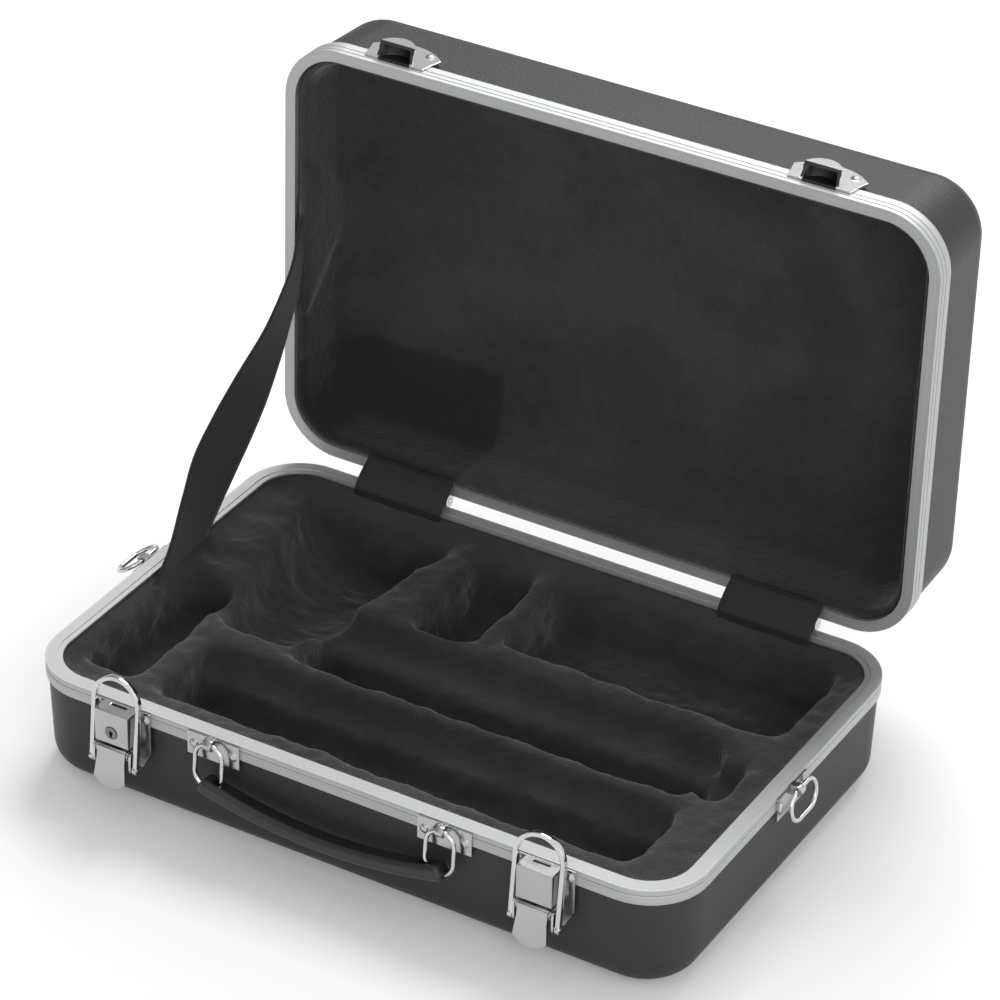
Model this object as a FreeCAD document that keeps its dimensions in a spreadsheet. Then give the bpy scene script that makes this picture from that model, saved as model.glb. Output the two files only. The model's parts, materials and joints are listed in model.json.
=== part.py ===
import FreeCAD, Part
import Sketcher
import math
import os
import re

# Clarinet case: two moulded halves in aluminium valances, lined with plush.
# The origin is at the middle of the base's underside. X runs along the case,
# the front with the latches faces -Y and the hinges are at the back.
# The case stands open, so each piece of the lid is drawn shut and then turned.

SIZES = {
    # Outside of the case
    "case_length": 370.0,
    "case_width": 237.2,
    "corner_radius": 31.7,
    "base_height": 61.0,
    "lid_height": 62.9,
    "parting_gap": 0.4,
    "lid_open": 91.1,
    # Moulded shells
    "shell_wall": 3.0,
    "shell_inset": 1.1,
    "shell_draft": 2.1,
    "edge_radius": 14.1,
    # Aluminium valances
    "valance_wall": 1.0,
    "lip_thick": 1.2,
    "base_valance_drop": 8.3,
    "lid_valance_drop": 11.6,
    "base_lip_width": 8.7,
    "base_strip_width": 5.8,
    "strip_step": 0.5,
    "lid_lip_width": 6.0,
    "flange_fit": 0.1,
    "groove_height": 0.6,
    "groove_depth": 0.3,
    "groove_drop": 3.2,
    "groove_pitch": 3.6,
    # Plush-covered insert and lid lining
    "border_inset": 9.7,
    "lining_fit": 0.3,
    "plateau_drop": 6.0,
    "insert_edge": 12.0,
    "lining_sink": 1.3,
    "lining_pad": 12.0,
    "lining_edge": 18.0,
    "well_corner": 5.0,
    # Bell well, a half cone
    "bell_radius": 44.0,
    "bell_small_radius": 22.0,
    # Hinges
    "pin_back": 4.0,
    "pin_rise": 1.0,
    "pin_radius": 1.5,
    "pin_fit": 0.02,
    "pin_running": 0.06,
    "knuckle_radius": 3.6,
    "hinge_width": 48.0,
    "knuckle_gap": 0.3,
    "leaf_thick": 1.5,
    "base_leaf_drop": 25.0,
    "lid_leaf_rise": 22.0,
    "leaf_edge": 0.5,
    "hinge_middle": 2.5,
    "hinge_spread": 108.5,
    # Rivets
    "rivet_radius": 1.5,
    "rivet_head": 2.7,
    "rivet_dome": 1.1,
    "rivet_fit": 0.05,
    # Front hardware, measured from the middle of the latches and handle
    "front_middle": -4.0,
    "latch_spread": 119.5,
    "plate_thick": 1.2,
    "plate_half": 17.0,
    "plate_foot_half": 12.0,
    "plate_height": 33.0,
    "plate_straight": 23.0,
    "plate_top_gap": 0.5,
    "plate_rivet_side": 14.0,
    "plate_rivet_drop": 4.0,
    "housing_half": 9.7,
    "housing_reach": 10.0,
    "housing_height": 18.6,
    "housing_wall": 1.2,
    "slot_half": 4.5,
    "slot_depth": 1.5,
    "slot_out": 2.1,
    # Lever with its pin and cranks
    "lever_pivot_out": 8.2,
    "lever_pivot_drop": 23.5,
    "lever_pin_radius": 1.2,
    "lever_hub_radius": 2.6,
    "lever_half": 8.2,
    "tab_half": 9.2,
    "tab_thick": 1.6,
    "tab_length": 20.0,
    "tab_tilt": 9.0,
    "ear_thick": 1.0,
    "ear_gap": 0.15,
    "crank_thick": 1.1,
    "crank_gap": 0.3,
    "crank_radius": 2.2,
    "stud_radius": 1.1,
    "stud_drop": 7.5,
    "moving_fit": 0.05,
    # Bail
    "bail_radius": 12.75,
    "bail_strip": 2.4,
    "bail_depth": 3.0,
    "bail_reach": 34.6,
    "bail_lean": 6.0,
    # Catch on the lid
    "catch_foot_half": 17.0,
    "catch_notch_half": 18.5,
    "catch_tip_half": 20.0,
    "catch_foot_rise": 4.5,
    "catch_notch_rise": 12.0,
    "catch_tip_rise": 17.5,
    "catch_crown_rise": 26.0,
    "catch_rivet_side": 12.8,
    "catch_rivet_rise": 19.0,
    "lug_radius": 10.6,
    "lug_shelf": 5.7,
    "lug_reach": 9.0,
    "lug_wall": 1.5,
    "hook_radius": 10.3,
    "hook_rise": 2.6,
    "hook_slope": 4.0,
    # Lock cylinder in the left latch
    "lock_drop": 12.2,
    "lock_radius": 3.4,
    "lock_proud": 0.4,
    "lock_length": 6.0,
    "key_radius": 1.1,
    "key_slot_half": 0.6,
    "key_slot_drop": 2.6,
    "key_depth": 2.0,
    # Handle
    "handle_spread": 65.5,
    "bracket_half": 15.0,
    "bracket_height": 13.0,
    "bracket_thick": 1.2,
    "bracket_top_gap": 0.8,
    "bracket_rivet_side": 11.0,
    "eye_half": 2.0,
    "eye_wall": 1.3,
    "eye_fit": 0.35,
    "wire_radius": 1.2,
    "ring_half": 7.8,
    "ring_height": 23.6,
    "ring_out": 4.4,
    "ring_drop": 2.6,
    "handle_lean": 5.0,
    "grip_half": 71.2,
    "grip_depth": 10.5,
    "grip_under": 33.9,
    "grip_over": 26.4,
    "grip_tip_under": 24.9,
    "grip_tip_over": 17.4,
    "grip_end_inset": 5.0,
    "grip_round": 2.8,
    "slot_inner": 3.2,
    "slot_outer": 10.9,
    "slot_width": 4.6,
    # Strap rings at the ends
    "side_middle": -4.0,
    "side_ring_shift": 4.0,
    "side_ring_straight": 10.0,
    "left_ring_swing": 58.0,
    "right_ring_swing": 8.0,
    # Stay strap
    "stay_width": 38.0,
    "stay_thick": 1.2,
    "stay_inset": 9.55,
    "stay_angle": 46.1,
    "stay_rim_place": 12.0,
    "stay_bow": 2.5,
    "stay_tail": 44.0,
    "stay_flat": 25.0,
    "stay_play": 0.5,
    "anchor_width": 42.0,
    "anchor_length": 10.0,
    "anchor_thick": 0.8,
    "anchor_rivet_side": 8.0,
    "stay_rivet_radius": 2.0,
    "stay_rivet_head": 3.5,
    # Inner hinge covers
    "cover_thick": 0.8,
    "cover_width": 55.0,
    "cover_gap": 0.15,
    "cover_tail": 3.0,
    # Overrun of every cutting solid
    "cut_over": 5.0,
}

# Wells for the instrument: left, right, front and back edge as shares of the
# space inside the border, from its middle, and the depth as a share of the
# height from the floor pad to the plateau.
WELL_SHARES = {
    "MouthpieceWell": (-0.965, -0.79, -0.80, 0.07, 0.62),
    "BarrelWell": (-0.27, -0.07, 0.24, 0.90, 0.68),
    "AccessoryWell": (0.0, 0.90, 0.33, 0.945, 0.78),
    "UpperJointShelf": (-0.475, 0.80, -0.29, 0.18, 0.38),
    "UpperJointWell": (-0.475, 0.80, -0.19, 0.03, 0.74),
    "LowerJointShelf": (-0.70, 0.83, -0.83, -0.37, 0.38),
    "LowerJointWell": (-0.70, 0.83, -0.71, -0.46, 0.78),
    "GreaseWell": (0.81, 0.90, -0.23, 0.09, 0.40),
}
BELL_SHARES = {"middle": -0.622, "back": 0.90, "front": -0.22}
# Rivets of a hinge leaf: places along its width as shares of half of it
LEAF_RIVET_SHARES = (-0.78, -0.26, 0.26, 0.78)

FRONT = "(-case_width/2)"
BACK = "(case_width/2)"
LID_RIM = "(base_height + parting_gap)"
PIN_Y = "(case_width/2 + pin_back)"
PIN_Z = "(base_height + pin_rise)"
BASE_TOP = "(base_height - lip_thick)"
LID_TOP = "(base_height + parting_gap + lip_thick)"
SIDES = (("Left", -1), ("Right", 1))

doc = FreeCAD.newDocument("ClarinetCase")
sheet = doc.addObject("Spreadsheet::Sheet", "Sizes")
for row, (alias, number) in enumerate(SIZES.items(), 1):
    sheet.set(f"A{row}", alias)
    sheet.set(f"B{row}", str(number))
    sheet.setAlias(f"B{row}", alias)
gauge = doc.addObject("Part::Vertex", "Gauge")
doc.recompute()
subparts = []


def cells(formula):
    """A formula with its sizes pointing at the sheet."""
    return re.sub(r"\b[a-z]+(?:_[a-z]+)+\b", r"Sizes.\g<0>", str(formula))


def bind(thing, **formulas):
    """Tie properties to formulas; two underscores stand for a dot."""
    for name, formula in formulas.items():
        thing.setExpression(name.replace("__", "."), cells(formula))
    return thing


def measure(formula):
    """The value of a formula now."""
    gauge.setExpression("X", cells(formula))
    gauge.recompute()
    return gauge.X.Value


def put(thing, x="0", y="0", z="0"):
    """Tie a thing's place to formulas."""
    return bind(thing, Placement__Base__x=x, Placement__Base__y=y, Placement__Base__z=z)


def block(name, x, y, z):
    """A box between a pair of formulas along each axis."""
    box = doc.addObject("Part::Box", name)
    bind(box, Length=f"({x[1]}) - ({x[0]})", Width=f"({y[1]}) - ({y[0]})",
         Height=f"({z[1]}) - ({z[0]})")
    return put(box, x[0], y[0], z[0])


TURNS = {
    "x": FreeCAD.Rotation(FreeCAD.Vector(0, 1, 0), 90),
    "y": FreeCAD.Rotation(FreeCAD.Vector(1, 0, 0), -90),
    "z": FreeCAD.Rotation(),
    "-x": FreeCAD.Rotation(FreeCAD.Vector(0, 1, 0), -90),
    "-y": FreeCAD.Rotation(FreeCAD.Vector(1, 0, 0), 90),
}


def rod(name, axis, radius, length, x, y, z):
    """A cylinder that starts at x, y, z and runs along an axis."""
    cylinder = doc.addObject("Part::Cylinder", name)
    cylinder.Placement = FreeCAD.Placement(FreeCAD.Vector(), TURNS[axis])
    bind(cylinder, Radius=radius, Height=length)
    return put(cylinder, x, y, z)


def dome(name, axis, head, rise, x, y, z):
    """A rivet's domed head: a cap of a ball, standing on x, y, z."""
    ball = doc.addObject("Part::Sphere", name)
    ball.Placement = FreeCAD.Placement(FreeCAD.Vector(), TURNS[axis])
    radius = f"((({head})^2 + ({rise})^2) / (2*({rise})))"
    bind(ball, Radius=radius, Angle1=f"asin(1 - ({rise})/{radius})")
    ball.Angle2 = 90
    back = f"({radius} - ({rise}))"
    step = -1 if axis.startswith("-") else 1
    place = {"x": x, "y": y, "z": z}
    place[axis[-1]] = f"({place[axis[-1]]}) - {step}*{back}"
    return put(ball, **place)


def join(name, pieces):
    """One solid out of several."""
    fused = doc.addObject("Part::MultiFuse", name)
    fused.Shapes = pieces
    return fused


def carve(name, base, tools):
    """A solid with others cut out of it."""
    cut = doc.addObject("Part::Cut", name)
    cut.Base = base
    cut.Tool = tools[0] if len(tools) == 1 else join(name + "Tools", tools)
    return cut


def finish(thing, label):
    """Name a finished sub-part."""
    thing.Label = label
    subparts.append(thing)
    return thing


def lid_turned(thing):
    """Turn a piece that is drawn shut about the hinge pin to the open lid."""
    thing.Placement = FreeCAD.Placement()
    bind(thing, Placement__Rotation__Angle="-lid_open", Placement__Rotation__Axis__x="1",
         Placement__Rotation__Axis__z="0")
    return put(thing, "0",
               f"{PIN_Y} - {PIN_Y}*cos(lid_open) - {PIN_Z}*sin(lid_open)",
               f"{PIN_Z} + {PIN_Y}*sin(lid_open) - {PIN_Z}*cos(lid_open)")


def new_sketch(body, name, role="XY_Plane", offset="0"):
    """A sketch on one of the body's own planes, moved along its normal."""
    sketch = body.newObject("Sketcher::SketchObject", name)
    plane = [face for face in body.Origin.OriginFeatures if face.Role == role][0]
    sketch.AttachmentSupport = [(plane, "")]
    sketch.MapMode = "FlatFace"
    bind(sketch, AttachmentOffset__Base__z=offset)
    return sketch


def rounded(sketch, length, width, radius, x="0", y="0"):
    """A rounded rectangle in a sketch, centred on x, y."""
    first = sketch.GeometryCount
    half_x = measure(length) / 2
    half_y = measure(width) / 2
    bend = measure(radius)
    mid = FreeCAD.Vector(measure(x), measure(y), 0)
    up = FreeCAD.Vector(0, 0, 1)
    turns = ((1, 1), (-1, 1), (-1, -1), (1, -1))
    for index, (side_x, side_y) in enumerate(turns):
        centre = mid + FreeCAD.Vector(side_x*(half_x - bend), side_y*(half_y - bend), 0)
        begin = index*math.pi/2
        sketch.addGeometry(Part.ArcOfCircle(Part.Circle(centre, up, bend), begin, begin + math.pi/2))
    for index in range(4):
        start = sketch.Geometry[first + index].EndPoint
        end = sketch.Geometry[first + (index + 1) % 4].StartPoint
        sketch.addGeometry(Part.LineSegment(start, end))
    for index in range(4):
        arc = first + index
        line = first + 4 + index
        after = first + (index + 1) % 4
        sketch.addConstraint(Sketcher.Constraint("Tangent", arc, 2, line, 1))
        sketch.addConstraint(Sketcher.Constraint("Tangent", line, 2, after, 1))
        way = "Horizontal" if index % 2 == 0 else "Vertical"
        sketch.addConstraint(Sketcher.Constraint(way, line))
        if index:
            sketch.addConstraint(Sketcher.Constraint("Equal", first, arc))
    drive(sketch, "Radius", (first,), radius)
    drive(sketch, "DistanceX", (first + 2, 3, first + 3, 3), f"({length}) - 2*({radius})")
    drive(sketch, "DistanceY", (first + 3, 3, first, 3), f"({width}) - 2*({radius})")
    drive(sketch, "DistanceX", (-1, 1, first + 2, 3), f"({x}) - ({length})/2 + ({radius})")
    drive(sketch, "DistanceY", (-1, 1, first + 2, 3), f"({y}) - ({width})/2 + ({radius})")


def drive(sketch, kind, where, formula):
    """Add a dimension to a sketch and tie it to a formula."""
    index = sketch.addConstraint(Sketcher.Constraint(kind, *where, measure(formula)))
    sketch.setExpression(f"Constraints[{index}]", cells(formula))


def outline(sketch, corners):
    """A closed outline through corners (x, y), with an arc after a corner
    that also gives a radius; a negative radius bends to the other side."""
    points = [FreeCAD.Vector(measure(corner[0]), measure(corner[1]), 0) for corner in corners]
    count = len(corners)
    for index, corner in enumerate(corners):
        start = points[index]
        end = points[(index + 1) % count]
        if len(corner) == 2:
            sketch.addGeometry(Part.LineSegment(start, end))
            continue
        radius = measure(corner[2])
        chord = end - start
        rise = math.sqrt(radius**2 - (chord.Length/2)**2)
        normal = FreeCAD.Vector(chord.y, -chord.x, 0).normalize()
        sign = math.copysign(1, radius)
        centre = (start + end)/2 - normal*sign*rise
        round_it = Part.Circle(centre, FreeCAD.Vector(0, 0, 1), abs(radius))
        ends = (start, end) if radius < 0 else (end, start)
        first, last = [math.atan2(point.y - centre.y, point.x - centre.x) for point in ends]
        if last < first:
            last += 2*math.pi
        if last - first > math.pi:
            first, last = last, first + 2*math.pi
        sketch.addGeometry(Part.ArcOfCircle(round_it, first, last))
    starts = []
    for index, point in enumerate(points):
        edge = sketch.Geometry[index]
        turned = (edge.StartPoint - point).Length > (edge.EndPoint - point).Length
        starts.append(2 if turned else 1)
    for index, corner in enumerate(corners):
        after = (index + 1) % count
        start = starts[index]
        sketch.addConstraint(Sketcher.Constraint("Coincident", index, 3 - start, after, starts[after]))
        if corner[0] == "0":
            sketch.addConstraint(Sketcher.Constraint("PointOnObject", index, start, -2))
        else:
            drive(sketch, "DistanceX", (-1, 1, index, start), corner[0])
        drive(sketch, "DistanceY", (-1, 1, index, start), corner[1])
        if len(corner) == 3:
            drive(sketch, "Radius", (index,), f"abs({corner[2]})")


def pad(body, sketch, length, reverse=False, taper=None, middle=False):
    """Pad a sketch."""
    feature = body.newObject("PartDesign::Pad", sketch.Name + "Pad")
    feature.Profile = sketch
    feature.Reversed = reverse
    feature.Midplane = middle
    bind(feature, Length=length)
    if taper:
        bind(feature, TaperAngle=taper)
    return feature


def plate(name, corners, role, offset, length, reverse=False, middle=False):
    """A body with one padded outline."""
    body = doc.addObject("PartDesign::Body", name)
    sketch = new_sketch(body, name + "Outline", role, offset)
    outline(sketch, corners)
    pad(body, sketch, length, reverse, middle=middle)
    return body


def tub(name, inset, level, depth, edge, down=True):
    """A drafted rounded block with its far edge rounded: half of the case,
    or the space inside it. It starts at a level and runs down or up."""
    body = doc.addObject("PartDesign::Body", name)
    sketch = new_sketch(body, name + "Rim", offset=level)
    rounded(sketch, f"case_length - 2*({inset})", f"case_width - 2*({inset})",
            f"corner_radius - ({inset})")
    feature = pad(body, sketch, depth, reverse=down, taper="-shell_draft")
    doc.recompute()
    far = min if down else max
    face = far(feature.Shape.Faces, key=lambda side: side.CenterOfMass.z)
    names = [f"Edge{index}" for index, edge_shape in enumerate(feature.Shape.Edges, 1)
             if any(edge_shape.isSame(other) for other in face.Edges)]
    if edge:
        fillet = body.newObject("PartDesign::Fillet", name + "Edge")
        fillet.Base = (feature, names)
        bind(fillet, Radius=edge)
    return body


def band(body, name, level, height, outer, inner):
    """A flat ring that follows the case's outline between two insets."""
    sketch = new_sketch(body, name, offset=level)
    for inset in (outer, inner):
        rounded(sketch, f"case_length - 2*({inset})", f"case_width - 2*({inset})",
                f"corner_radius - ({inset})")
    pad(body, sketch, height)


def rivet_row(name, axis, places, start, end, head_rise="rivet_dome", radius="rivet_radius",
              head="rivet_head"):
    """Rivets along an axis: shanks from start back to end, with domed heads at start.
    Returns the solids and the holes that they need."""
    along = axis[-1]
    solids = []
    holes = []
    backward = "-y" if axis == "y" else ("y" if axis == "-y" else ("-x" if axis == "x" else "x"))
    for index, place in enumerate(places):
        spot = dict(place)
        spot[along] = start
        length = f"abs(({start}) - ({end}))"
        shank = rod(f"{name}Shank{index}", backward, radius, length, **spot)
        cap = dome(f"{name}Head{index}", axis, head, head_rise, **spot)
        solids.append(join(f"{name}{index}", [shank, cap]))
        step = 1 if axis in ("x", "y") else -1
        spot[along] = f"({start}) + {step}*cut_over"
        holes.append(rod(f"{name}Hole{index}", backward, f"{radius} + rivet_fit",
                         f"{length} + 2*cut_over", **spot))
    return solids, holes


def gather(name, pieces):
    """A group of separate like solids in one sub-part."""
    group = doc.addObject("Part::Compound", name)
    group.Links = pieces
    return group


# Hinge rivets: the same columns in both leaves, one row each
def hinge_rivets(name, level, inner_face):
    """Rivets of both hinges through the back of a half of the case."""
    places = []
    for side, step in SIDES:
        for share in LEAF_RIVET_SHARES:
            places.append({"x": f"hinge_middle + {step}*hinge_spread + {share}*hinge_width/2",
                           "z": level})
    return rivet_row(name, "y", places, f"{BACK} + leaf_thick", inner_face)


SHELL_BACK = "(case_width/2 - shell_inset - shell_wall)"
base_hinge_rivets, base_hinge_holes = hinge_rivets(
    "HingeRivetBase", "base_height - base_leaf_drop/2 - leaf_edge - knuckle_radius", SHELL_BACK)
lid_hinge_rivets, lid_hinge_holes = hinge_rivets(
    "HingeRivetLid", f"{LID_RIM} + lid_leaf_rise/2 + leaf_edge + knuckle_radius", SHELL_BACK)

# Front rivets: latch plates and handle brackets on the base, catches on the lid
SHELL_FRONT = "(-case_width/2 + shell_inset + shell_wall)"
latch_places = []
handle_places = []
catch_places = []
for side, step in SIDES:
    for turn in (-1, 1):
        latch_places.append({"x": f"front_middle + {step}*latch_spread + {turn}*plate_rivet_side",
                             "z": "base_height - plate_top_gap - plate_rivet_drop"})
        handle_places.append({"x": f"front_middle + {step}*handle_spread + {turn}*bracket_rivet_side",
                              "z": "base_height - bracket_top_gap - bracket_height/2"})
        catch_places.append({"x": f"front_middle + {step}*latch_spread + {turn}*catch_rivet_side",
                             "z": f"{LID_RIM} + catch_rivet_rise"})
latch_rivets, latch_holes = rivet_row("LatchRivet", "-y", latch_places,
                                      f"{FRONT} - plate_thick", SHELL_FRONT)
handle_rivets, handle_holes = rivet_row("HandleRivet", "-y", handle_places,
                                        f"{FRONT} - bracket_thick", SHELL_FRONT)
catch_rivets, catch_holes = rivet_row("CatchRivet", "-y", catch_places,
                                      f"{FRONT} - plate_thick", SHELL_FRONT)

# Rivets of the strap rings' brackets at both ends
side_rivets = []
side_holes = []
for side, step in SIDES:
    places = [{"y": f"side_middle + {turn}*bracket_rivet_side",
               "z": "base_height - bracket_top_gap - bracket_height/2"} for turn in (-1, 1)]
    solids, holes = rivet_row(f"SideRivet{side}", "x" if step > 0 else "-x", places,
                              f"{step}*(case_length/2 + bracket_thick)",
                              f"{step}*(case_length/2 - shell_inset - shell_wall)")
    side_rivets += solids
    side_holes += holes


# Length of the stay strap between the planes of the two open rims
STAY_SPAN = (f"((({PIN_Y} - stay_rim_place)*sin(lid_open) + ({PIN_Z} - base_height)*cos(lid_open)"
             f" + {LID_RIM} - {PIN_Z})/sin(stay_angle + lid_open))")


# The stay strap's own frame: X across its thickness, Y along it and Z across
# its width, with its start where its middle line meets the plane of the base's rim.
def stay_turned(thing, x, along, across):
    """Set a piece into the stay strap's frame."""
    thing.Placement = FreeCAD.Placement()
    bind(thing, Placement__Rotation__Angle="stay_angle", Placement__Rotation__Axis__x="1",
         Placement__Rotation__Axis__z="0")
    return put(thing, x,
               f"stay_rim_place + ({along})*cos(stay_angle) - ({across})*sin(stay_angle)",
               f"base_height + ({along})*sin(stay_angle) + ({across})*cos(stay_angle)")


def stay_block(name, x, along, across):
    """A box in the stay strap's frame."""
    box = doc.addObject("Part::Box", name)
    bind(box, Length=f"({x[1]}) - ({x[0]})", Width=f"({along[1]}) - ({along[0]})",
         Height=f"({across[1]}) - ({across[0]})")
    return stay_turned(box, x[0], along[0], across[0])


def shut(thing):
    """Where a piece of the open lid lies when the lid is drawn shut."""
    doc.recompute()
    centre = FreeCAD.Vector(0, measure(PIN_Y), measure(PIN_Z))
    turn = FreeCAD.Rotation(FreeCAD.Vector(1, 0, 0), measure("lid_open"))
    place = thing.Placement
    for axis in ("x", "y", "z"):
        thing.setExpression(f"Placement.Base.{axis}", None)
        thing.setExpression(f"Placement.Rotation.Axis.{axis}", None)
    thing.setExpression("Placement.Rotation.Angle", None)
    thing.Placement = FreeCAD.Placement(FreeCAD.Vector(), turn, centre).multiply(place)
    return thing


STAY_X = "(-case_length/2 + stay_inset)"
ANCHOR_X = f"({STAY_X} + stay_thick)"
# Middles of the two anchors along the strap, from the plane of the base's rim
STAY_ENDS = {
    "Base": "(-stay_tail + anchor_length/2 + anchor_thick)",
    "Lid": f"({STAY_SPAN} + stay_tail - anchor_length/2 - anchor_thick)",
}


def stay_slot(name):
    """The slot in a lining that takes an end of the strap and its anchor."""
    along = ("-stay_tail - stay_play", "stay_flat")
    if name.endswith("Lid"):
        along = (f"{STAY_SPAN} - stay_flat", f"{STAY_SPAN} + stay_tail + stay_play")
    return stay_block(name, (f"{STAY_X} - stay_play/2", f"{ANCHOR_X} + 2*anchor_thick + stay_play"),
                      along, ("-anchor_width/2 - stay_play", "anchor_width/2 + stay_play"))


def stay_spots(half):
    """Where the two rivets of an anchor stand: across the case and up."""
    middle = STAY_ENDS[half]
    spots = []
    for turn in (-1, 1):
        spots.append((
            f"(stay_rim_place + {middle}*cos(stay_angle) - {turn}*anchor_rivet_side*sin(stay_angle))",
            f"(base_height + {middle}*sin(stay_angle) + {turn}*anchor_rivet_side*cos(stay_angle))"))
    return spots


def stay_holes(name, half):
    """Holes for an anchor's rivets through strap, lining and shell."""
    return [rod(f"{name}{index}", "x", "stay_rivet_radius + rivet_fit",
                "shell_wall + stay_inset + cut_over", "-case_length/2 - shell_wall", across, up)
            for index, (across, up) in enumerate(stay_spots(half))]


def stay_rivets(half):
    """Two rivets through anchor, strap, lining and shell. The outer head stands
    where the drafted shell is widest under it."""
    inner = f"({ANCHOR_X} + anchor_thick)"
    solids = []
    for index, (across, up) in enumerate(stay_spots(half)):
        depth = f"({BASE_TOP} - {up})"
        if half == "Lid":
            depth = (f"(({across} - {PIN_Y})*sin(lid_open) + ({up} - {PIN_Z})*cos(lid_open)"
                     f" + {PIN_Z} - {LID_TOP})")
        outer = f"(-case_length/2 + shell_inset + ({depth} - stay_rivet_head)*tan(shell_draft))"
        pieces = [rod(f"StayRivet{half}{kind}{index}", "x", radius, f"{end} - {start}", start, across, up)
                  for kind, radius, start, end in (
                      ("Shank", "stay_rivet_radius", outer, inner),
                      ("Outer", "stay_rivet_head", f"({outer} - rivet_dome)", outer),
                      ("Inner", "stay_rivet_head", inner, f"({inner} + anchor_thick)"))]
        solids.append(join(f"StayRivet{half}{index}", pieces))
    return solids


# The two moulded shells, drafted and rounded, with holes for their rivets
base_stay_holes = stay_holes("StayHoleBase", "Base")
WALL = "(shell_inset + shell_wall)"
base_outer = tub("BaseShellOuter", "shell_inset", BASE_TOP, BASE_TOP, "edge_radius")
base_inner = tub("BaseShellInner", WALL, BASE_TOP, f"{BASE_TOP} - shell_wall",
                 "edge_radius - shell_wall")
base_holes = latch_holes + handle_holes + base_hinge_holes + side_holes
finish(carve("BaseShell", base_outer, [base_inner] + base_holes + base_stay_holes), "base_shell")

LID_DEPTH = "(lid_height - lip_thick)"
lid_outer = tub("LidShellOuter", "shell_inset", LID_TOP, LID_DEPTH, "edge_radius", down=False)
lid_inner = tub("LidShellInner", WALL, LID_TOP, f"{LID_DEPTH} - shell_wall",
                "edge_radius - shell_wall", down=False)
shut_stay_holes = [shut(hole) for hole in stay_holes("StayHoleShut", "Lid")]
lid_holes = catch_holes + lid_hinge_holes
lid_shell = carve("LidShell", lid_outer, [lid_inner] + lid_holes + shut_stay_holes)
finish(lid_turned(lid_shell), "lid_shell")

# The aluminium valances: an outer and an inner flange clasp the shell's edge
# under a lip. The base's lip steps down to a second, narrower strip. Shallow
# grooves run all round the outer flanges.
def groove(name, level):
    """The solid that cuts one groove; a level is its lower edge."""
    cutter = doc.addObject("PartDesign::Body", name + "Body")
    band(cutter, name, level, "groove_height", "-cut_over", "groove_depth")
    return cutter


BASE_FLANGE = "(shell_inset + shell_wall + flange_fit + base_valance_drop*tan(shell_draft))"
base_frame = doc.addObject("PartDesign::Body", "BaseValanceBody")
band(base_frame, "BaseOuterFlange", "base_height - base_valance_drop", "base_valance_drop",
     "0", "valance_wall")
band(base_frame, "BaseLip", BASE_TOP, "lip_thick", "0", "base_strip_width")
band(base_frame, "BaseStrip", f"{BASE_TOP} - strip_step", "lip_thick", BASE_FLANGE, "base_lip_width")
band(base_frame, "BaseInnerFlange", "base_height - base_valance_drop",
     "base_valance_drop - lip_thick", BASE_FLANGE, f"{BASE_FLANGE} + valance_wall")
base_groove = groove("BaseGroove", "base_height - groove_drop")
finish(carve("BaseValance", base_frame, latch_holes + handle_holes + side_holes + [base_groove]),
       "base_valance")

LID_FLANGE = "(shell_inset + shell_wall + flange_fit + lid_valance_drop*tan(shell_draft))"
lid_frame = doc.addObject("PartDesign::Body", "LidValanceBody")
band(lid_frame, "LidOuterFlange", LID_RIM, "lid_valance_drop", "0", "valance_wall")
band(lid_frame, "LidLip", LID_RIM, "lip_thick", "0", "lid_lip_width")
band(lid_frame, "LidInnerFlange", LID_RIM, "lid_valance_drop",
     LID_FLANGE, f"{LID_FLANGE} + valance_wall")
lid_grooves = [groove(f"LidGroove{index}", f"{LID_RIM} + groove_drop - groove_height + {index}*groove_pitch")
               for index in range(2)]
finish(lid_turned(carve("LidValance", lid_frame, lid_grooves)), "lid_valance")

# The base's insert: a plush-covered moulding with a raised border under the
# valance and wells for the joints of the instrument
INSERT_INSET = f"({BASE_FLANGE} + valance_wall + lining_fit)"
INSERT_TOP = f"({BASE_TOP} - strip_step - lining_fit/2)"
PLATEAU = "(base_height - plateau_drop)"
FLOOR_PAD = "(2*shell_wall)"
insert_body = tub("InsertBlock", INSERT_INSET, INSERT_TOP, f"{INSERT_TOP} - shell_wall", "insert_edge")
over_plateau = new_sketch(insert_body, "OverPlateau", offset=PLATEAU)
rounded(over_plateau, "case_length - 2*border_inset", "case_width - 2*border_inset",
        "corner_radius - border_inset")


def pocket(body, sketch, depth, upward=False):
    """Cut a sketch into a body, down unless upward."""
    feature = body.newObject("PartDesign::Pocket", sketch.Name + "Pocket")
    feature.Profile = sketch
    feature.Reversed = upward
    bind(feature, Length=depth)
    return feature


pocket(insert_body, over_plateau, "plateau_drop + cut_over", upward=True)
HALF_SPACE_X = "(case_length/2 - border_inset)"
HALF_SPACE_Y = "(case_width/2 - border_inset)"
WELL_DEPTH = f"({PLATEAU} - {FLOOR_PAD})"
for name, (left, right, front, back, depth) in WELL_SHARES.items():
    well = new_sketch(insert_body, name, offset=PLATEAU)
    rounded(well, f"({right} - ({left}))*{HALF_SPACE_X}", f"({back} - ({front}))*{HALF_SPACE_Y}",
            "well_corner", f"({left} + {right})*{HALF_SPACE_X}/2",
            f"({front} + {back})*{HALF_SPACE_Y}/2")
    pocket(insert_body, well, f"{depth}*{WELL_DEPTH}")
bell = doc.addObject("Part::Cone", "BellWell")
bell.Placement = FreeCAD.Placement(FreeCAD.Vector(), TURNS["y"])
bind(bell, Radius1="bell_small_radius", Radius2="bell_radius",
     Height=f"({BELL_SHARES['back']} - ({BELL_SHARES['front']}))*{HALF_SPACE_Y}")
put(bell, f"{BELL_SHARES['middle']}*{HALF_SPACE_X}", f"{BELL_SHARES['front']}*{HALF_SPACE_Y}", PLATEAU)
insert_tools = [bell, stay_slot("StaySlotBase")] + base_stay_holes
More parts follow.
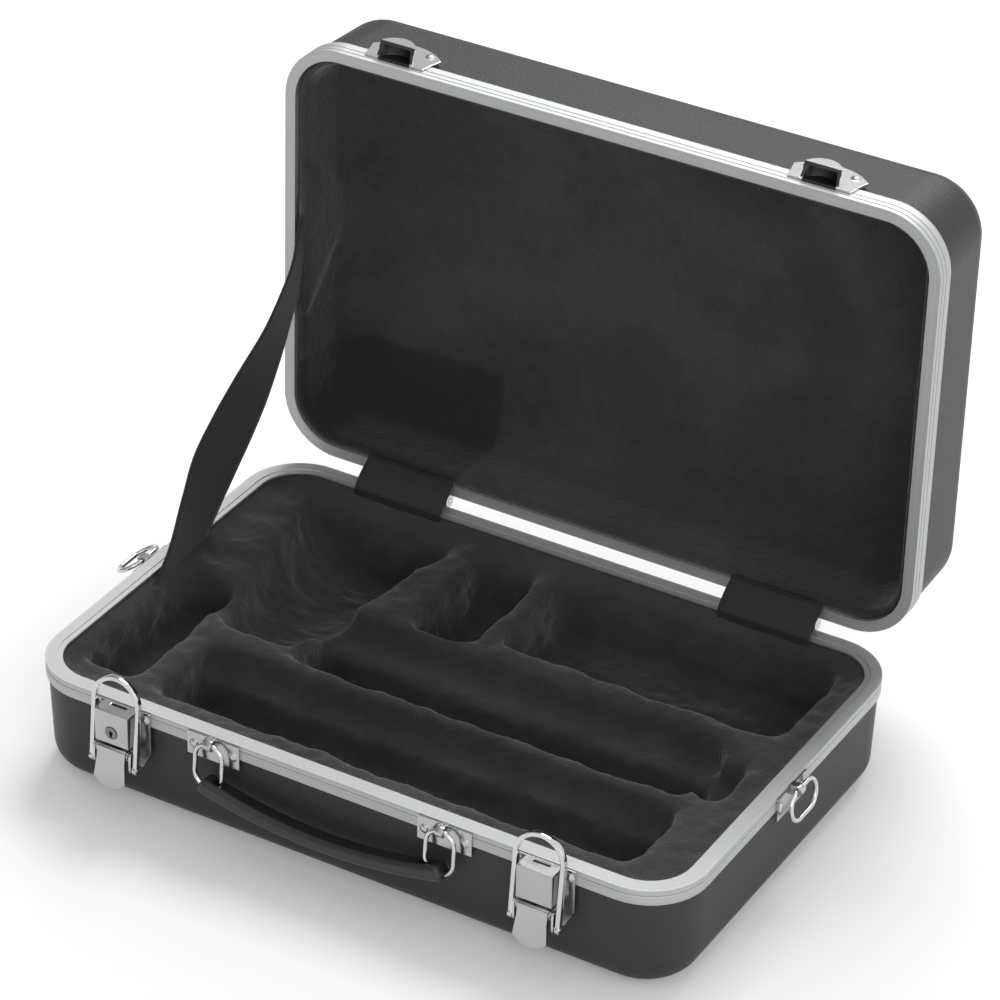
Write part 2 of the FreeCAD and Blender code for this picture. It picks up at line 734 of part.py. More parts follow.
finish(carve("BaseInsert", insert_body, insert_tools), "base_insert")

# The lid's lining: a soft tray, padded at the top of the lid
LINING_INSET = f"({LID_FLANGE} + valance_wall + lining_fit)"
LINING_RIM = f"({LID_RIM} + lip_thick + lining_sink)"
LINING_DEPTH = "(lid_height - shell_wall - lip_thick - lining_sink)"
lining_outer = tub("LiningOuter", LINING_INSET, LINING_RIM, LINING_DEPTH, "insert_edge", down=False)
lining_inner = tub("LiningInner", "border_inset", LINING_RIM, f"{LINING_DEPTH} - lining_pad",
                   "lining_edge", down=False)
lid_lining = carve("LidLining", lining_outer,
                   [lining_inner, shut(stay_slot("StaySlotLid"))] + shut_stay_holes)
finish(lid_turned(lid_lining), "lid_lining")

# Two butt hinges on the back faces. The base has three knuckles of the five.
for side, step in SIDES:
    tag = side.lower()
    middle = f"(hinge_middle + {step}*hinge_spread)"
    knuckle = "(hinge_width/5)"
    parts = {"Base": [], "Lid": []}
    notches = {"Base": [], "Lid": []}
    for index in range(5):
        owner, other = ("Base", "Lid") if index % 2 == 0 else ("Lid", "Base")
        start = f"{middle} - hinge_width/2 + {index}*{knuckle}"
        parts[owner].append(rod(f"Knuckle{side}{index}", "x", "knuckle_radius",
                                f"{knuckle} - knuckle_gap", f"{start} + knuckle_gap/2", PIN_Y, PIN_Z))
        reach = "(knuckle_radius + knuckle_gap)"
        notches[other].append(block(f"Notch{side}{index}",
                                    (f"{start} - knuckle_gap/2", f"{start} + {knuckle} + knuckle_gap/2"),
                                    (f"{BACK} - cut_over", f"{BACK} + leaf_thick + cut_over"),
                                    (f"{PIN_Z} - {reach}", f"{PIN_Z} + {reach}")))
    along = (f"{middle} - hinge_width/2", f"{middle} + hinge_width/2")
    across = (BACK, f"{BACK} + leaf_thick")
    leaves = {
        "Base": block(f"LeafBase{side}", along, across,
                      ("base_height - leaf_edge - base_leaf_drop", "base_height - leaf_edge")),
        "Lid": block(f"LeafLid{side}", along, across,
                     (f"{LID_RIM} + leaf_edge", f"{LID_RIM} + leaf_edge + lid_leaf_rise")),
    }
    for half, fit, holes in (("Base", "pin_fit", base_hinge_holes), ("Lid", "pin_running", lid_hinge_holes)):
        leaf = carve(f"LeafNotched{half}{side}", leaves[half], notches[half])
        bore = rod(f"Bore{half}{side}", "x", f"pin_radius + {fit}", "hinge_width + 2*cut_over",
                   f"{middle} - hinge_width/2 - cut_over", PIN_Y, PIN_Z)
        solid = join(f"LeafJoined{half}{side}", [leaf] + parts[half])
        hinge = carve(f"Hinge{half}{side}", solid, [bore] + holes)
        if half == "Lid":
            lid_turned(hinge)
        finish(hinge, f"hinge_leaf_{half.lower()}_{tag}")
    finish(rod(f"HingePin{side}", "x", "pin_radius", "hinge_width",
               f"{middle} - hinge_width/2", PIN_Y, PIN_Z), f"hinge_pin_{tag}")

finish(gather("HingeRivetsBase", base_hinge_rivets), "hinge_rivets_base")
finish(lid_turned(gather("HingeRivetsLid", lid_hinge_rivets)), "hinge_rivets_lid")
finish(gather("LatchRivets", latch_rivets), "latch_rivets")
finish(gather("HandleRivets", handle_rivets), "handle_rivets")
finish(lid_turned(gather("CatchRivets", catch_rivets)), "catch_rivets")
finish(gather("SideRivets", side_rivets), "side_rivets")

# Draw latches: plate with ears, box over the mechanism, lever on its pin with
# two cranks, and the bail on the cranks' studs
PLATE_TOP = "(base_height - plate_top_gap)"
PIVOT_Y = f"({FRONT} - lever_pivot_out)"
PIVOT_Z = "(base_height - lever_pivot_drop)"
STUD_Z = f"({PIVOT_Z} - stud_drop)"
CRANK_X = "(housing_half + crank_gap)"
BAIL_HALF = "(bail_radius + bail_strip/2)"


def mirrored_blocks(name, middle, x, y, z):
    """The same box on both sides of a middle."""
    right = block(name + "Right", (f"{middle} + {x[0]}", f"{middle} + {x[1]}"), y, z)
    left = block(name + "Left", (f"{middle} - {x[1]}", f"{middle} - {x[0]}"), y, z)
    return [left, right]


def mirrored_rods(name, middle, radius, x, y, z):
    """The same rod along X on both sides of a middle."""
    length = f"({x[1]}) - ({x[0]})"
    right = rod(name + "Right", "x", radius, length, f"{middle} + {x[0]}", y, z)
    left = rod(name + "Left", "x", radius, length, f"{middle} - ({x[1]})", y, z)
    return [left, right]


for side, step in SIDES:
    tag = side.lower()
    middle = f"(front_middle + {step}*latch_spread)"

    face = plate(f"LatchPlateFace{side}", [
        (f"{middle} - plate_half", PLATE_TOP),
        (f"{middle} - plate_half", f"{PLATE_TOP} - plate_straight"),
        (f"{middle} - plate_foot_half", f"{PLATE_TOP} - plate_height"),
        (f"{middle} + plate_foot_half", f"{PLATE_TOP} - plate_height"),
        (f"{middle} + plate_half", f"{PLATE_TOP} - plate_straight"),
        (f"{middle} + plate_half", PLATE_TOP),
    ], "XZ_Plane", "case_width/2", "plate_thick")
    ear_x = ("(lever_half + ear_gap)", "(lever_half + ear_gap + ear_thick)")
    ears = mirrored_blocks(f"Ear{side}", middle, ear_x, (PIVOT_Y, f"{FRONT} - plate_thick/2"),
                           (f"{PIVOT_Z} - 2*lever_pin_radius", f"{PIVOT_Z} + 2*lever_pin_radius"))
    ears += mirrored_rods(f"EarEye{side}", middle, "2*lever_pin_radius", ear_x, PIVOT_Y, PIVOT_Z)
    ear_bore = rod(f"EarBore{side}", "x", "lever_pin_radius + pin_running", "2*plate_half",
                   f"{middle} - plate_half", PIVOT_Y, PIVOT_Z)
    finish(carve(f"LatchPlate{side}", join(f"LatchPlateJoined{side}", [face] + ears),
                 [ear_bore] + latch_holes), f"latch_plate_{tag}")

    housing = block(f"HousingBlock{side}", (f"{middle} - housing_half", f"{middle} + housing_half"),
                    (f"{FRONT} - housing_reach", f"{FRONT} - plate_thick"),
                    (f"{PLATE_TOP} - housing_height", PLATE_TOP))
    hollow = block(f"HousingHollow{side}",
                   (f"{middle} - housing_half + housing_wall", f"{middle} + housing_half - housing_wall"),
                   (f"{FRONT} - housing_reach + housing_wall", f"{FRONT} + cut_over"),
                   (f"{PLATE_TOP} - housing_height - cut_over", f"{PLATE_TOP} - housing_wall"))
    slot = block(f"HousingSlot{side}", (f"{middle} - slot_half", f"{middle} + slot_half"),
                 (f"{FRONT} - slot_out - slot_depth", f"{FRONT} - slot_out"),
                 (f"{PLATE_TOP} - 2*housing_wall", f"{PLATE_TOP} + cut_over"))
    tools = [hollow, slot]
    if side == "Left":
        lock_z = "(base_height - lock_drop)"
        tools.append(rod("LockBore", "y", "lock_radius + moving_fit", "2*housing_reach", middle,
                         f"{FRONT} - 1.5*housing_reach", lock_z))
        inside = f"{FRONT} - housing_reach + housing_wall + moving_fit"
        barrel = rod("LockBarrel", "y", "lock_radius", "lock_length", middle,
                     f"{FRONT} - housing_reach - lock_proud", lock_z)
        collar = rod("LockCollar", "y", "lock_radius + housing_wall", "housing_wall", middle, inside, lock_z)
        keyhole = rod("Keyhole", "y", "key_radius", "key_depth + cut_over", middle,
                      f"{FRONT} - housing_reach - lock_proud - cut_over", lock_z)
        key_slot = block("KeySlot", (f"{middle} - key_slot_half", f"{middle} + key_slot_half"),
                         (f"{FRONT} - housing_reach - lock_proud - cut_over",
                          f"{FRONT} - housing_reach - lock_proud + key_depth"),
                         (f"{lock_z} - key_slot_drop", lock_z))
        finish(carve("LockCylinder", join("LockJoined", [barrel, collar]), [keyhole, key_slot]),
               "lock_cylinder")
    finish(carve(f"Housing{side}", housing, tools), f"latch_housing_{tag}")

    hub = rod(f"LeverHub{side}", "x", "lever_hub_radius", "2*lever_half", f"{middle} - lever_half",
              PIVOT_Y, PIVOT_Z)
    tab_swell = "(tab_length - tab_half/2)"
    tab_rise = "(tab_half/2)"
    tab = plate(f"LeverTab{side}", [
        ("-lever_half", "lever_hub_radius/2"),
        ("-lever_half", "-2*lever_hub_radius"),
        ("-tab_half", f"-{tab_swell}", f"(tab_half^2 + {tab_rise}^2)/(2*{tab_rise})"),
        ("tab_half", f"-{tab_swell}"),
        ("lever_half", "-2*lever_hub_radius"),
        ("lever_half", "lever_hub_radius/2"),
    ], "XZ_Plane", "lever_hub_radius - tab_thick", "tab_thick")
    bind(tab, Placement__Rotation__Angle="-tab_tilt", Placement__Rotation__Axis__x="1",
         Placement__Rotation__Axis__z="0")
    put(tab, middle, PIVOT_Y, PIVOT_Z)
    lever_bore = rod(f"LeverBore{side}", "x", "lever_pin_radius + pin_fit", "2*plate_half",
                     f"{middle} - plate_half", PIVOT_Y, PIVOT_Z)
    finish(carve(f"Lever{side}", join(f"LeverJoined{side}", [hub, tab]), [lever_bore]),
           f"latch_lever_{tag}")

    pin_half = f"({CRANK_X} + crank_thick)"
    finish(rod(f"LatchPin{side}", "x", "lever_pin_radius", f"2*{pin_half}",
               f"{middle} - {pin_half}", PIVOT_Y, PIVOT_Z), f"latch_pin_{tag}")
    cheek_x = (CRANK_X, pin_half)
    cheeks = mirrored_blocks(f"Cheek{side}", middle, cheek_x,
                             (f"{PIVOT_Y} - crank_radius", f"{PIVOT_Y} + crank_radius"), (STUD_Z, PIVOT_Z))
    upper = mirrored_rods(f"CheekUpper{side}", middle, "crank_radius", cheek_x, PIVOT_Y, PIVOT_Z)
    lower = mirrored_rods(f"CheekLower{side}", middle, "crank_radius", cheek_x, PIVOT_Y, STUD_Z)
    studs = mirrored_rods(f"Stud{side}", middle, "stud_radius", (CRANK_X, f"({BAIL_HALF} + crank_gap)"),
                          PIVOT_Y, STUD_Z)
    cranks = []
    for index in (0, 1):
        joined = join(f"CrankJoined{side}{index}",
                      [cheeks[index], upper[index], lower[index], studs[index]])
        cranks.append(carve(f"Crank{side}{index}", joined, [lever_bore]))
    finish(gather(f"Cranks{side}", cranks), f"latch_cranks_{tag}")

    arch = doc.addObject("Part::Cylinder", f"BailArch{side}")
    arch.Placement = FreeCAD.Placement(FreeCAD.Vector(), TURNS["-y"])
    bind(arch, Radius=BAIL_HALF, Height="bail_depth")
    arch.Angle = 180
    put(arch, "0", "bail_depth/2", "bail_reach")
    inner = "(bail_radius - bail_strip/2)"
    legs = mirrored_blocks(f"BailLeg{side}", "0", (inner, BAIL_HALF), ("-bail_depth/2", "bail_depth/2"),
                           ("0", "bail_reach"))
    eyes = mirrored_rods(f"BailEye{side}", "0", "2*stud_radius", (inner, BAIL_HALF), "0", "0")
    span = rod(f"BailSpan{side}", "-y", inner, "2*bail_depth", "0", "bail_depth", "bail_reach")
    bore = rod(f"BailBore{side}", "x", "stud_radius + moving_fit", "4*bail_radius", "-2*bail_radius",
               "0", "0")
    loop = carve(f"BailCut{side}", join(f"BailJoined{side}", [carve(f"BailTop{side}", arch, [span])]
                                        + legs + eyes), [bore])
    bail = doc.addObject("Part::Compound", f"Bail{side}")
    bail.Links = [loop]
    bind(bail, Placement__Rotation__Angle="-bail_lean", Placement__Rotation__Axis__x="1",
         Placement__Rotation__Axis__z="0")
    finish(put(bail, middle, PIVOT_Y, STUD_Z), f"latch_bail_{tag}")

    # Catch on the lid: a winged plate with a hollow, hooked lug that the bail holds
    crown = "(catch_crown_rise - catch_tip_rise)"
    wings = plate(f"CatchWings{side}", [
        (f"{middle} - catch_foot_half", f"{LID_RIM} + catch_foot_rise"),
        (f"{middle} + catch_foot_half", f"{LID_RIM} + catch_foot_rise"),
        (f"{middle} + catch_notch_half", f"{LID_RIM} + catch_notch_rise"),
        (f"{middle} + catch_tip_half", f"{LID_RIM} + catch_tip_rise",
         f"(catch_tip_half^2 + {crown}^2)/(2*{crown})"),
        (f"{middle} - catch_tip_half", f"{LID_RIM} + catch_tip_rise"),
        (f"{middle} - catch_notch_half", f"{LID_RIM} + catch_notch_rise"),
    ], "XZ_Plane", "case_width/2", "plate_thick")
    lug_z = f"({STUD_Z} + bail_reach*cos(bail_lean))"
    lug = rod(f"Lug{side}", "-y", "lug_radius", "lug_shelf - plate_thick/2", middle,
              f"{FRONT} - plate_thick/2", lug_z)
    hook = rod(f"Hook{side}", "-y", "hook_radius", "lug_reach - lug_shelf", middle,
               f"{FRONT} - lug_shelf", f"{lug_z} + hook_rise")
    slope = "atan(hook_slope/lug_reach)"
    under = doc.addObject("Part::Box", f"LugUnder{side}")
    bind(under, Length="2*catch_tip_half", Width="4*lug_reach", Height="4*lug_radius",
         Placement__Rotation__Angle=f"-{slope}", Placement__Rotation__Axis__x="1",
         Placement__Rotation__Axis__z="0")
    put(under, f"{middle} - catch_tip_half",
        f"{FRONT} - 3*lug_reach*cos({slope}) - 4*lug_radius*sin({slope})",
        f"{LID_RIM} + catch_foot_rise + 3*lug_reach*sin({slope}) - 4*lug_radius*cos({slope})")
    hollow = rod(f"LugHollow{side}", "-y", "lug_radius - lug_wall", "lug_reach - lug_wall - plate_thick",
                 middle, f"{FRONT} - plate_thick", lug_z)
    lug_solid = carve(f"LugCut{side}", join(f"LugJoined{side}", [lug, hook]), [under, hollow])
    catch = carve(f"Catch{side}", join(f"CatchJoined{side}", [wings, lug_solid]), catch_holes)
    finish(lid_turned(catch), f"catch_{tag}")

# Brackets for the handle and the strap rings, all alike: a riveted plate whose
# eye holds a wire ring. Each is drawn facing -Y at the origin.
EYE_DROP = "(ring_drop - bracket_top_gap)"
EYE_RADIUS = "(wire_radius + eye_fit + eye_wall)"
LEAN_AXIS_Y = f"({FRONT} - ring_out)"
LEAN_AXIS_Z = "(base_height - ring_drop)"


def placed(thing, x, y, z, turn=0, swing="0"):
    """Swing a piece out about its own X, turn it about Z and put it in place."""
    lean = FreeCAD.Rotation(FreeCAD.Vector(1, 0, 0), -measure(swing))
    heading = FreeCAD.Rotation(FreeCAD.Vector(0, 0, 1), turn)
    thing.Placement = FreeCAD.Placement(FreeCAD.Vector(), heading.multiply(lean))
    return put(thing, x, y, z)


def bracket(name, x, y, turn, label):
    """One bracket with its rivet holes and eye."""
    face = block(name + "Face", ("-bracket_half", "bracket_half"), ("-bracket_thick", "0"),
                 ("-bracket_height", "0"))
    web = block(name + "Web", ("-eye_half", "eye_half"), ("-ring_out", "-bracket_thick/2"),
                (f"-{EYE_DROP} - {EYE_RADIUS}", f"-{EYE_DROP} + {EYE_RADIUS}"))
    eye = rod(name + "Eye", "x", EYE_RADIUS, "2*eye_half", "-eye_half", "-ring_out", f"-{EYE_DROP}")
    tools = [rod(name + "Bore", "x", "wire_radius + eye_fit", "4*eye_half", "-2*eye_half",
                 "-ring_out", f"-{EYE_DROP}")]
    for hand, step in SIDES:
        tools.append(rod(f"{name}Hole{hand}", "-y", "rivet_radius + rivet_fit", "2*cut_over",
                         f"{step}*bracket_rivet_side", "cut_over", "-bracket_height/2"))
    solid = carve(name, join(name + "Joined", [face, web, eye]), tools)
    finish(placed(solid, x, y, "base_height - bracket_top_gap", turn), label)


def half_ring(name, centre_x, centre_z, rotation, wire="wire_radius"):
    """Half a turn of ring wire in the XZ plane."""
    bend = doc.addObject("Part::Torus", name)
    bend.Placement = FreeCAD.Placement(FreeCAD.Vector(), rotation)
    bind(bend, Radius1="ring_half", Radius2=wire)
    bend.Angle3 = 180
    return put(bend, centre_x, "0", centre_z)


def long_ring(name, middle, wire):
    """A long ring that hangs with its top at height zero."""
    drop = "(ring_height - 2*ring_half)"
    return join(name, [
        half_ring(name + "Top", middle, "-ring_half", TURNS["-y"], wire),
        half_ring(name + "Foot", middle, "ring_half - ring_height", TURNS["y"], wire),
        rod(name + "SideA", "z", wire, drop, f"{middle} + ring_half", "0", f"-ring_half - {drop}"),
        rod(name + "SideB", "z", wire, drop, f"{middle} - ring_half", "0", f"-ring_half - {drop}"),
    ])


RIGHT_HALF = FreeCAD.Rotation(FreeCAD.Vector(0, 0, 1), FreeCAD.Vector(1, 0, 0), FreeCAD.Vector(0, 1, 0), "XYZ")
LEFT_HALF = FreeCAD.Rotation(FreeCAD.Vector(0, 0, 1), FreeCAD.Vector(-1, 0, 0), FreeCAD.Vector(0, -1, 0), "XYZ")
for side, step in SIDES:
    tag = side.lower()
    middle = f"front_middle + {step}*handle_spread"
    bracket(f"HandleBracket{side}", middle, FRONT, 0, f"handle_bracket_{tag}")
    bracket(f"SideBracket{side}", f"{step}*case_length/2", "side_middle", step*90, f"side_bracket_{tag}")

    ring = gather(f"HandleRing{side}", [long_ring(f"HandleRingJoined{side}", "0", "wire_radius")])
    finish(placed(ring, middle, LEAN_AXIS_Y, LEAN_AXIS_Z, 0, "handle_lean"), f"handle_ring_{tag}")

    straight = "side_ring_straight"
    pieces = [
        half_ring(f"SideRingA{side}", f"{straight}/2", "-ring_half", RIGHT_HALF),
        half_ring(f"SideRingB{side}", f"-{straight}/2", "-ring_half", LEFT_HALF),
        rod(f"SideRingTop{side}", "x", "wire_radius", straight, f"-{straight}/2", "0", "0"),
        rod(f"SideRingFoot{side}", "x", "wire_radius", straight, f"-{straight}/2", "0", "-2*ring_half"),
    ]
    ring = gather(f"SideRing{side}", [join(f"SideRingJoined{side}", pieces)])
    finish(placed(ring, f"{step}*(case_length/2 + ring_out)", "side_middle + side_ring_shift",
                  LEAN_AXIS_Z, step*90, f"{tag}_ring_swing"), f"side_ring_{tag}")

# The handle's grip: a crescent moulded round the feet of its rings, with a slot
# beside each.
# It is drawn hanging straight and leans out with the rings about their eyes.
under_rise = "(grip_under - grip_tip_under)"
over_rise = "(grip_over - grip_tip_over)"
over_half = "(grip_half - grip_end_inset)"
grip_body = doc.addObject("PartDesign::Body", "GripBody")
grip_sketch = new_sketch(grip_body, "GripOutline", "XZ_Plane", "-grip_depth/2")
outline(grip_sketch, [
    ("-grip_half", "-grip_tip_under",
     f"(grip_half^2 + {under_rise}^2)/(2*{under_rise})"),
    ("grip_half", "-grip_tip_under"),
    (over_half, "-grip_tip_over",
     f"-({over_half}^2 + {over_rise}^2)/(2*{over_rise})"),
    (f"-{over_half}", "-grip_tip_over"),
])
grip_pad = pad(grip_body, grip_sketch, "grip_depth")
doc.recompute()
rounding = grip_body.newObject("PartDesign::Fillet", "GripRounding")
rounding.Base = (grip_pad, [f"Edge{index}" for index in range(1, len(grip_pad.Shape.Edges) + 1)])
bind(rounding, Radius="grip_round")
slots = []
for side, step in SIDES:
    near = "(handle_spread - slot_outer)"
    far = "(handle_spread - slot_inner)"
    ends = (near, far) if step > 0 else (f"-{far}", f"-{near}")
    slots.append(block(f"GripSlot{side}", ends, ("-slot_width/2", "slot_width/2"),
                       ("-2*grip_under", "0")))
    slots.append(long_ring(f"GripBore{side}", f"{step}*handle_spread", "wire_radius + eye_fit"))
grip = carve("Grip", grip_body, slots)
finish(placed(grip, "front_middle", LEAN_AXIS_Y, LEAN_AXIS_Z, 0, "handle_lean"), "handle_grip")

# Woven stay strap that stops the lid, bowed outwards, with its anchors
bow_chord = f"({STAY_SPAN} - 2*stay_flat)"
bow_radius = f"({bow_chord}^2/4 + stay_bow^2)/(2*stay_bow)"
strap_body = doc.addObject("PartDesign::Body", "StrapBody")
strap_sketch = new_sketch(strap_body, "StrapOutline")
outline(strap_sketch, [
    ("0", "-stay_tail"),
    ("stay_thick", "-stay_tail"),
    ("stay_thick", "stay_flat", f"-({bow_radius})"),
    ("stay_thick", f"{STAY_SPAN} - stay_flat"),
    ("stay_thick", f"{STAY_SPAN} + stay_tail"),
    ("0", f"{STAY_SPAN} + stay_tail"),
    ("0", f"{STAY_SPAN} - stay_flat", bow_radius),
    ("0", "stay_flat"),
])
pad(strap_body, strap_sketch, "stay_width", middle=True)
stay_turned(strap_body, STAY_X, "0", "0")
open_stay_holes = stay_holes("StayHoleLid", "Lid")
finish(carve("StayStrap", strap_body, base_stay_holes + open_stay_holes), "stay_strap")
for half, holes in (("Base", base_stay_holes), ("Lid", open_stay_holes)):
    middle = STAY_ENDS[half]
    anchor = stay_block(f"StayAnchorPlate{half}", (ANCHOR_X, f"{ANCHOR_X} + anchor_thick"),
                        (f"{middle} - anchor_length/2", f"{middle} + anchor_length/2"),
                        ("-anchor_width/2", "anchor_width/2"))
    finish(carve(f"StayAnchor{half}", anchor, holes), f"stay_anchor_{half.lower()}")
    finish(gather(f"StayRivets{half}", stay_rivets(half)), f"stay_rivets_{half.lower()}")

# Covers inside the hinges: a flexible band from the insert's border to the lid
cover_y = f"({BACK} - border_inset - cover_gap)"
lid_edge_y = f"({BACK} - lid_lip_width - {PIN_Y})"
lid_edge_z = f"({LID_RIM} - {PIN_Z})"
open_y = f"({PIN_Y} + {lid_edge_y}*cos(lid_open) + {lid_edge_z}*sin(lid_open) - cover_gap)"
open_z = f"({PIN_Z} - {lid_edge_y}*sin(lid_open) + {lid_edge_z}*cos(lid_open) + 2*cover_gap)"
for side, step in SIDES:
    cover = plate(f"HingeCover{side}", [
        (cover_y, f"{PLATEAU} + cover_gap"),
        (cover_y, "base_height + cover_gap"),
        (open_y, open_z),
        (open_y, f"{open_z} + cover_tail"),
        (f"{open_y} - cover_thick", f"{open_z} + cover_tail"),
        (f"{open_y} - cover_thick", f"{open_z} + cover_thick/2"),
        (f"{cover_y} - cover_thick", "base_height + cover_gap + cover_thick/2"),
        (f"{cover_y} - cover_thick", f"{PLATEAU} + cover_gap"),
    ], "YZ_Plane", f"hinge_middle + {step}*hinge_spread", "cover_width", middle=True)
    finish(cover, f"hinge_cover_{side.lower()}")

doc.recompute()
faults = []
for thing in doc.Objects:
    if "Invalid" in thing.State or "Error" in thing.State:
        faults.append(f"{thing.Name}: {thing.State}")
for thing in subparts:
    if thing.Shape.isNull() or not thing.Shape.isValid() or not thing.Shape.Solids:
        faults.append(f"{thing.Label}: bad shape")
if faults:
    raise RuntimeError("; ".join(faults))

os.makedirs("parts", exist_ok=True)
for thing in subparts:
    thing.Shape.exportStep(f"parts/{thing.Label}.step")
    print(thing.Label, len(thing.Shape.Solids), round(thing.Shape.Volume, 1))
print(len(subparts), "sub-parts")
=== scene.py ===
import json
import math

import bpy
from mathutils import Matrix, Vector


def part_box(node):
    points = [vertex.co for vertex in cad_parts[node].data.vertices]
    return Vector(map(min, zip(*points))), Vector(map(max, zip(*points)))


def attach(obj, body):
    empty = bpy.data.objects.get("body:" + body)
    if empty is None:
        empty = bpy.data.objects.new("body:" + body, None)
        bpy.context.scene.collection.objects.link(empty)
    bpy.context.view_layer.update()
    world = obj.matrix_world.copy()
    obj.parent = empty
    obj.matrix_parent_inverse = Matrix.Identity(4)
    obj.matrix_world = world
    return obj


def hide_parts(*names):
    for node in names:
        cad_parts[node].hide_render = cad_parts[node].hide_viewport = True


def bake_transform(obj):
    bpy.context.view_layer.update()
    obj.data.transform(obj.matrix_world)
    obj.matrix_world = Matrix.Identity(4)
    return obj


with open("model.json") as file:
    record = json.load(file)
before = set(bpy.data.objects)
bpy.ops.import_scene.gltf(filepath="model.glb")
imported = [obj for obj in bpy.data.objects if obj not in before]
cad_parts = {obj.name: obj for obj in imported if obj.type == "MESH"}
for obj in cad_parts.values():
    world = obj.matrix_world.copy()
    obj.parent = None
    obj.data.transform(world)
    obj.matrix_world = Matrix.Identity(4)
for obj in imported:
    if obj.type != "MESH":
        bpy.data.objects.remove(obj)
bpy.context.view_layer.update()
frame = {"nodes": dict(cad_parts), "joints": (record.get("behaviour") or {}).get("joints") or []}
nodes = frame["nodes"]
joints = {joint["name"]: joint for joint in frame["joints"]}

# The camera stands in front of the case and to its right, well back, and looks
# down on it, so that the lines of the case hardly run together.
VIEW_AZIMUTH = math.radians(29.996)
VIEW_ELEVATION = math.radians(32.416)
VIEW_ROLL = math.radians(1.162)
VIEW_DISTANCE = 2.12976
VIEW_TARGET = Vector((0.018964, 0.0, 0.162801))
VIEW_LENS = 158.88
FILM_WIDTH = 36
back = Vector((math.sin(VIEW_AZIMUTH)*math.cos(VIEW_ELEVATION),
               -math.cos(VIEW_AZIMUTH)*math.cos(VIEW_ELEVATION),
               math.sin(VIEW_ELEVATION)))
level = Vector((0, 0, 1)).cross(back).normalized()
upright = back.cross(level)
across = level*math.cos(VIEW_ROLL) + upright*math.sin(VIEW_ROLL)
up = upright*math.cos(VIEW_ROLL) - level*math.sin(VIEW_ROLL)
bpy.ops.object.camera_add(location=VIEW_TARGET + back*VIEW_DISTANCE)
camera = bpy.context.object
camera.name = "camera"
camera.data.sensor_width = FILM_WIDTH
camera.data.lens = VIEW_LENS
camera.rotation_euler = Matrix((across, up, back)).transposed().to_euler()
bpy.context.scene.camera = camera

# The studio: a pale floor that keeps the shadow of the case, a broad soft lamp
# behind and above it, weaker ones in front and at the right, and a white
# surround that shows in the metal.
FLOOR_SIZE = 30
bpy.ops.object.select_all(action="DESELECT")
bpy.ops.mesh.primitive_plane_add(size=FLOOR_SIZE)
floor = bpy.context.object
floor.name = "floor"


def lamp(name, place, target, size, power):
    """A square soft box that faces a target."""
    bpy.ops.object.light_add(type="AREA", location=place)
    light = bpy.context.object
    light.name = name
    light.data.size = size
    light.data.energy = power
    aim = Vector(target) - Vector(place)
    light.rotation_euler = aim.to_track_quat("-Z", "Y").to_euler()


lamp("key_lamp", place=(-0.25, 1.55, 2.1), target=(0, 0.05, 0.1), size=1.4, power=46)
lamp("fill_lamp", place=(1.5, -1.9, 1.5), target=(0, 0, 0.1), size=1.6, power=14)
lamp("side_lamp", place=(2.3, 0.5, 1.0), target=(0.1, 0.1, 0.1), size=1.2, power=5)


class Wire:
    """A value in a material. Arithmetic on it adds the nodes that work it out."""

    def __init__(self, tree, socket):
        self.tree = tree
        self.socket = socket

    def node(self, kind, settings=(), sockets=(), result=0):
        """Add a node: its settings first, then the values or wires of its sockets."""
        made = self.tree.nodes.new(kind)
        for name, value in dict(settings).items():
            setattr(made, name, value)
        for name, value in dict(sockets).items():
            if isinstance(value, Wire):
                self.tree.links.new(value.socket, made.inputs[name])
            else:
                made.inputs[name].default_value = value
        return Wire(self.tree, made.outputs[result])

    def maths(self, operation, *values):
        return self.node("ShaderNodeMath", {"operation": operation}, enumerate(values))

    def __add__(self, other):
        return self.maths("ADD", self, other)

    __radd__ = __add__

    def __sub__(self, other):
        return self.maths("SUBTRACT", self, other)

    def __rsub__(self, other):
        return self.maths("SUBTRACT", other, self)

    def __mul__(self, other):
        return self.maths("MULTIPLY", self, other)

    __rmul__ = __mul__

    def __abs__(self):
        return self.maths("ABSOLUTE", self)

    def root(self):
        return self.maths("SQRT", self)

    def wave(self):
        return self.maths("SINE", self)

    def least(self, other):
        return self.maths("MINIMUM", self, other)

    def most(self, other):
        return self.maths("MAXIMUM", self, other)

    def step(self, low, high):
        """0 below low, 1 above high, smooth between."""
        return self.node("ShaderNodeMapRange", {"interpolation_type": "SMOOTHSTEP"},
                         {"Value": self, "From Min": low, "From Max": high})

    def part(self, axis):
        """One part of a vector."""
        return self.node("ShaderNodeSeparateXYZ", (), {"Vector": self}, axis)

    def noise(self, scale, detail=2.0, stretch=(1, 1, 1)):
        """Soft noise around 0.5, with so many lumps to the metre."""
        place = self.node("ShaderNodeVectorMath", {"operation": "MULTIPLY"},
                          {0: self, 1: stretch})
        return self.node("ShaderNodeTexNoise", (),
                         {"Vector": place, "Scale": scale, "Detail": detail})

    def mix(self, first, second):
        """A colour between two, by this value from 0 to 1."""
        return self.node("ShaderNodeMix", {"data_type": "RGBA"},
                         {0: self, 6: first, 7: second}, 2)


def grey(value, warm=0.0):
    """A near-neutral colour, cooler below 0 and warmer above."""
    return (value*(1 + warm), value, value*(1 - warm), 1)


def new_material(name, **fixed):
    """A material with its fixed sockets set, its shader and its place wire."""
    material = bpy.data.materials.new(name)
    material.use_nodes = True
    tree = material.node_tree
    shader = tree.nodes["Principled BSDF"]
    for socket, value in fixed.items():
        shader.inputs[socket.replace("_", " ")].default_value = value
    coordinates = tree.nodes.new("ShaderNodeTexCoord")
    return material, shader, Wire(tree, coordinates.outputs["Object"])


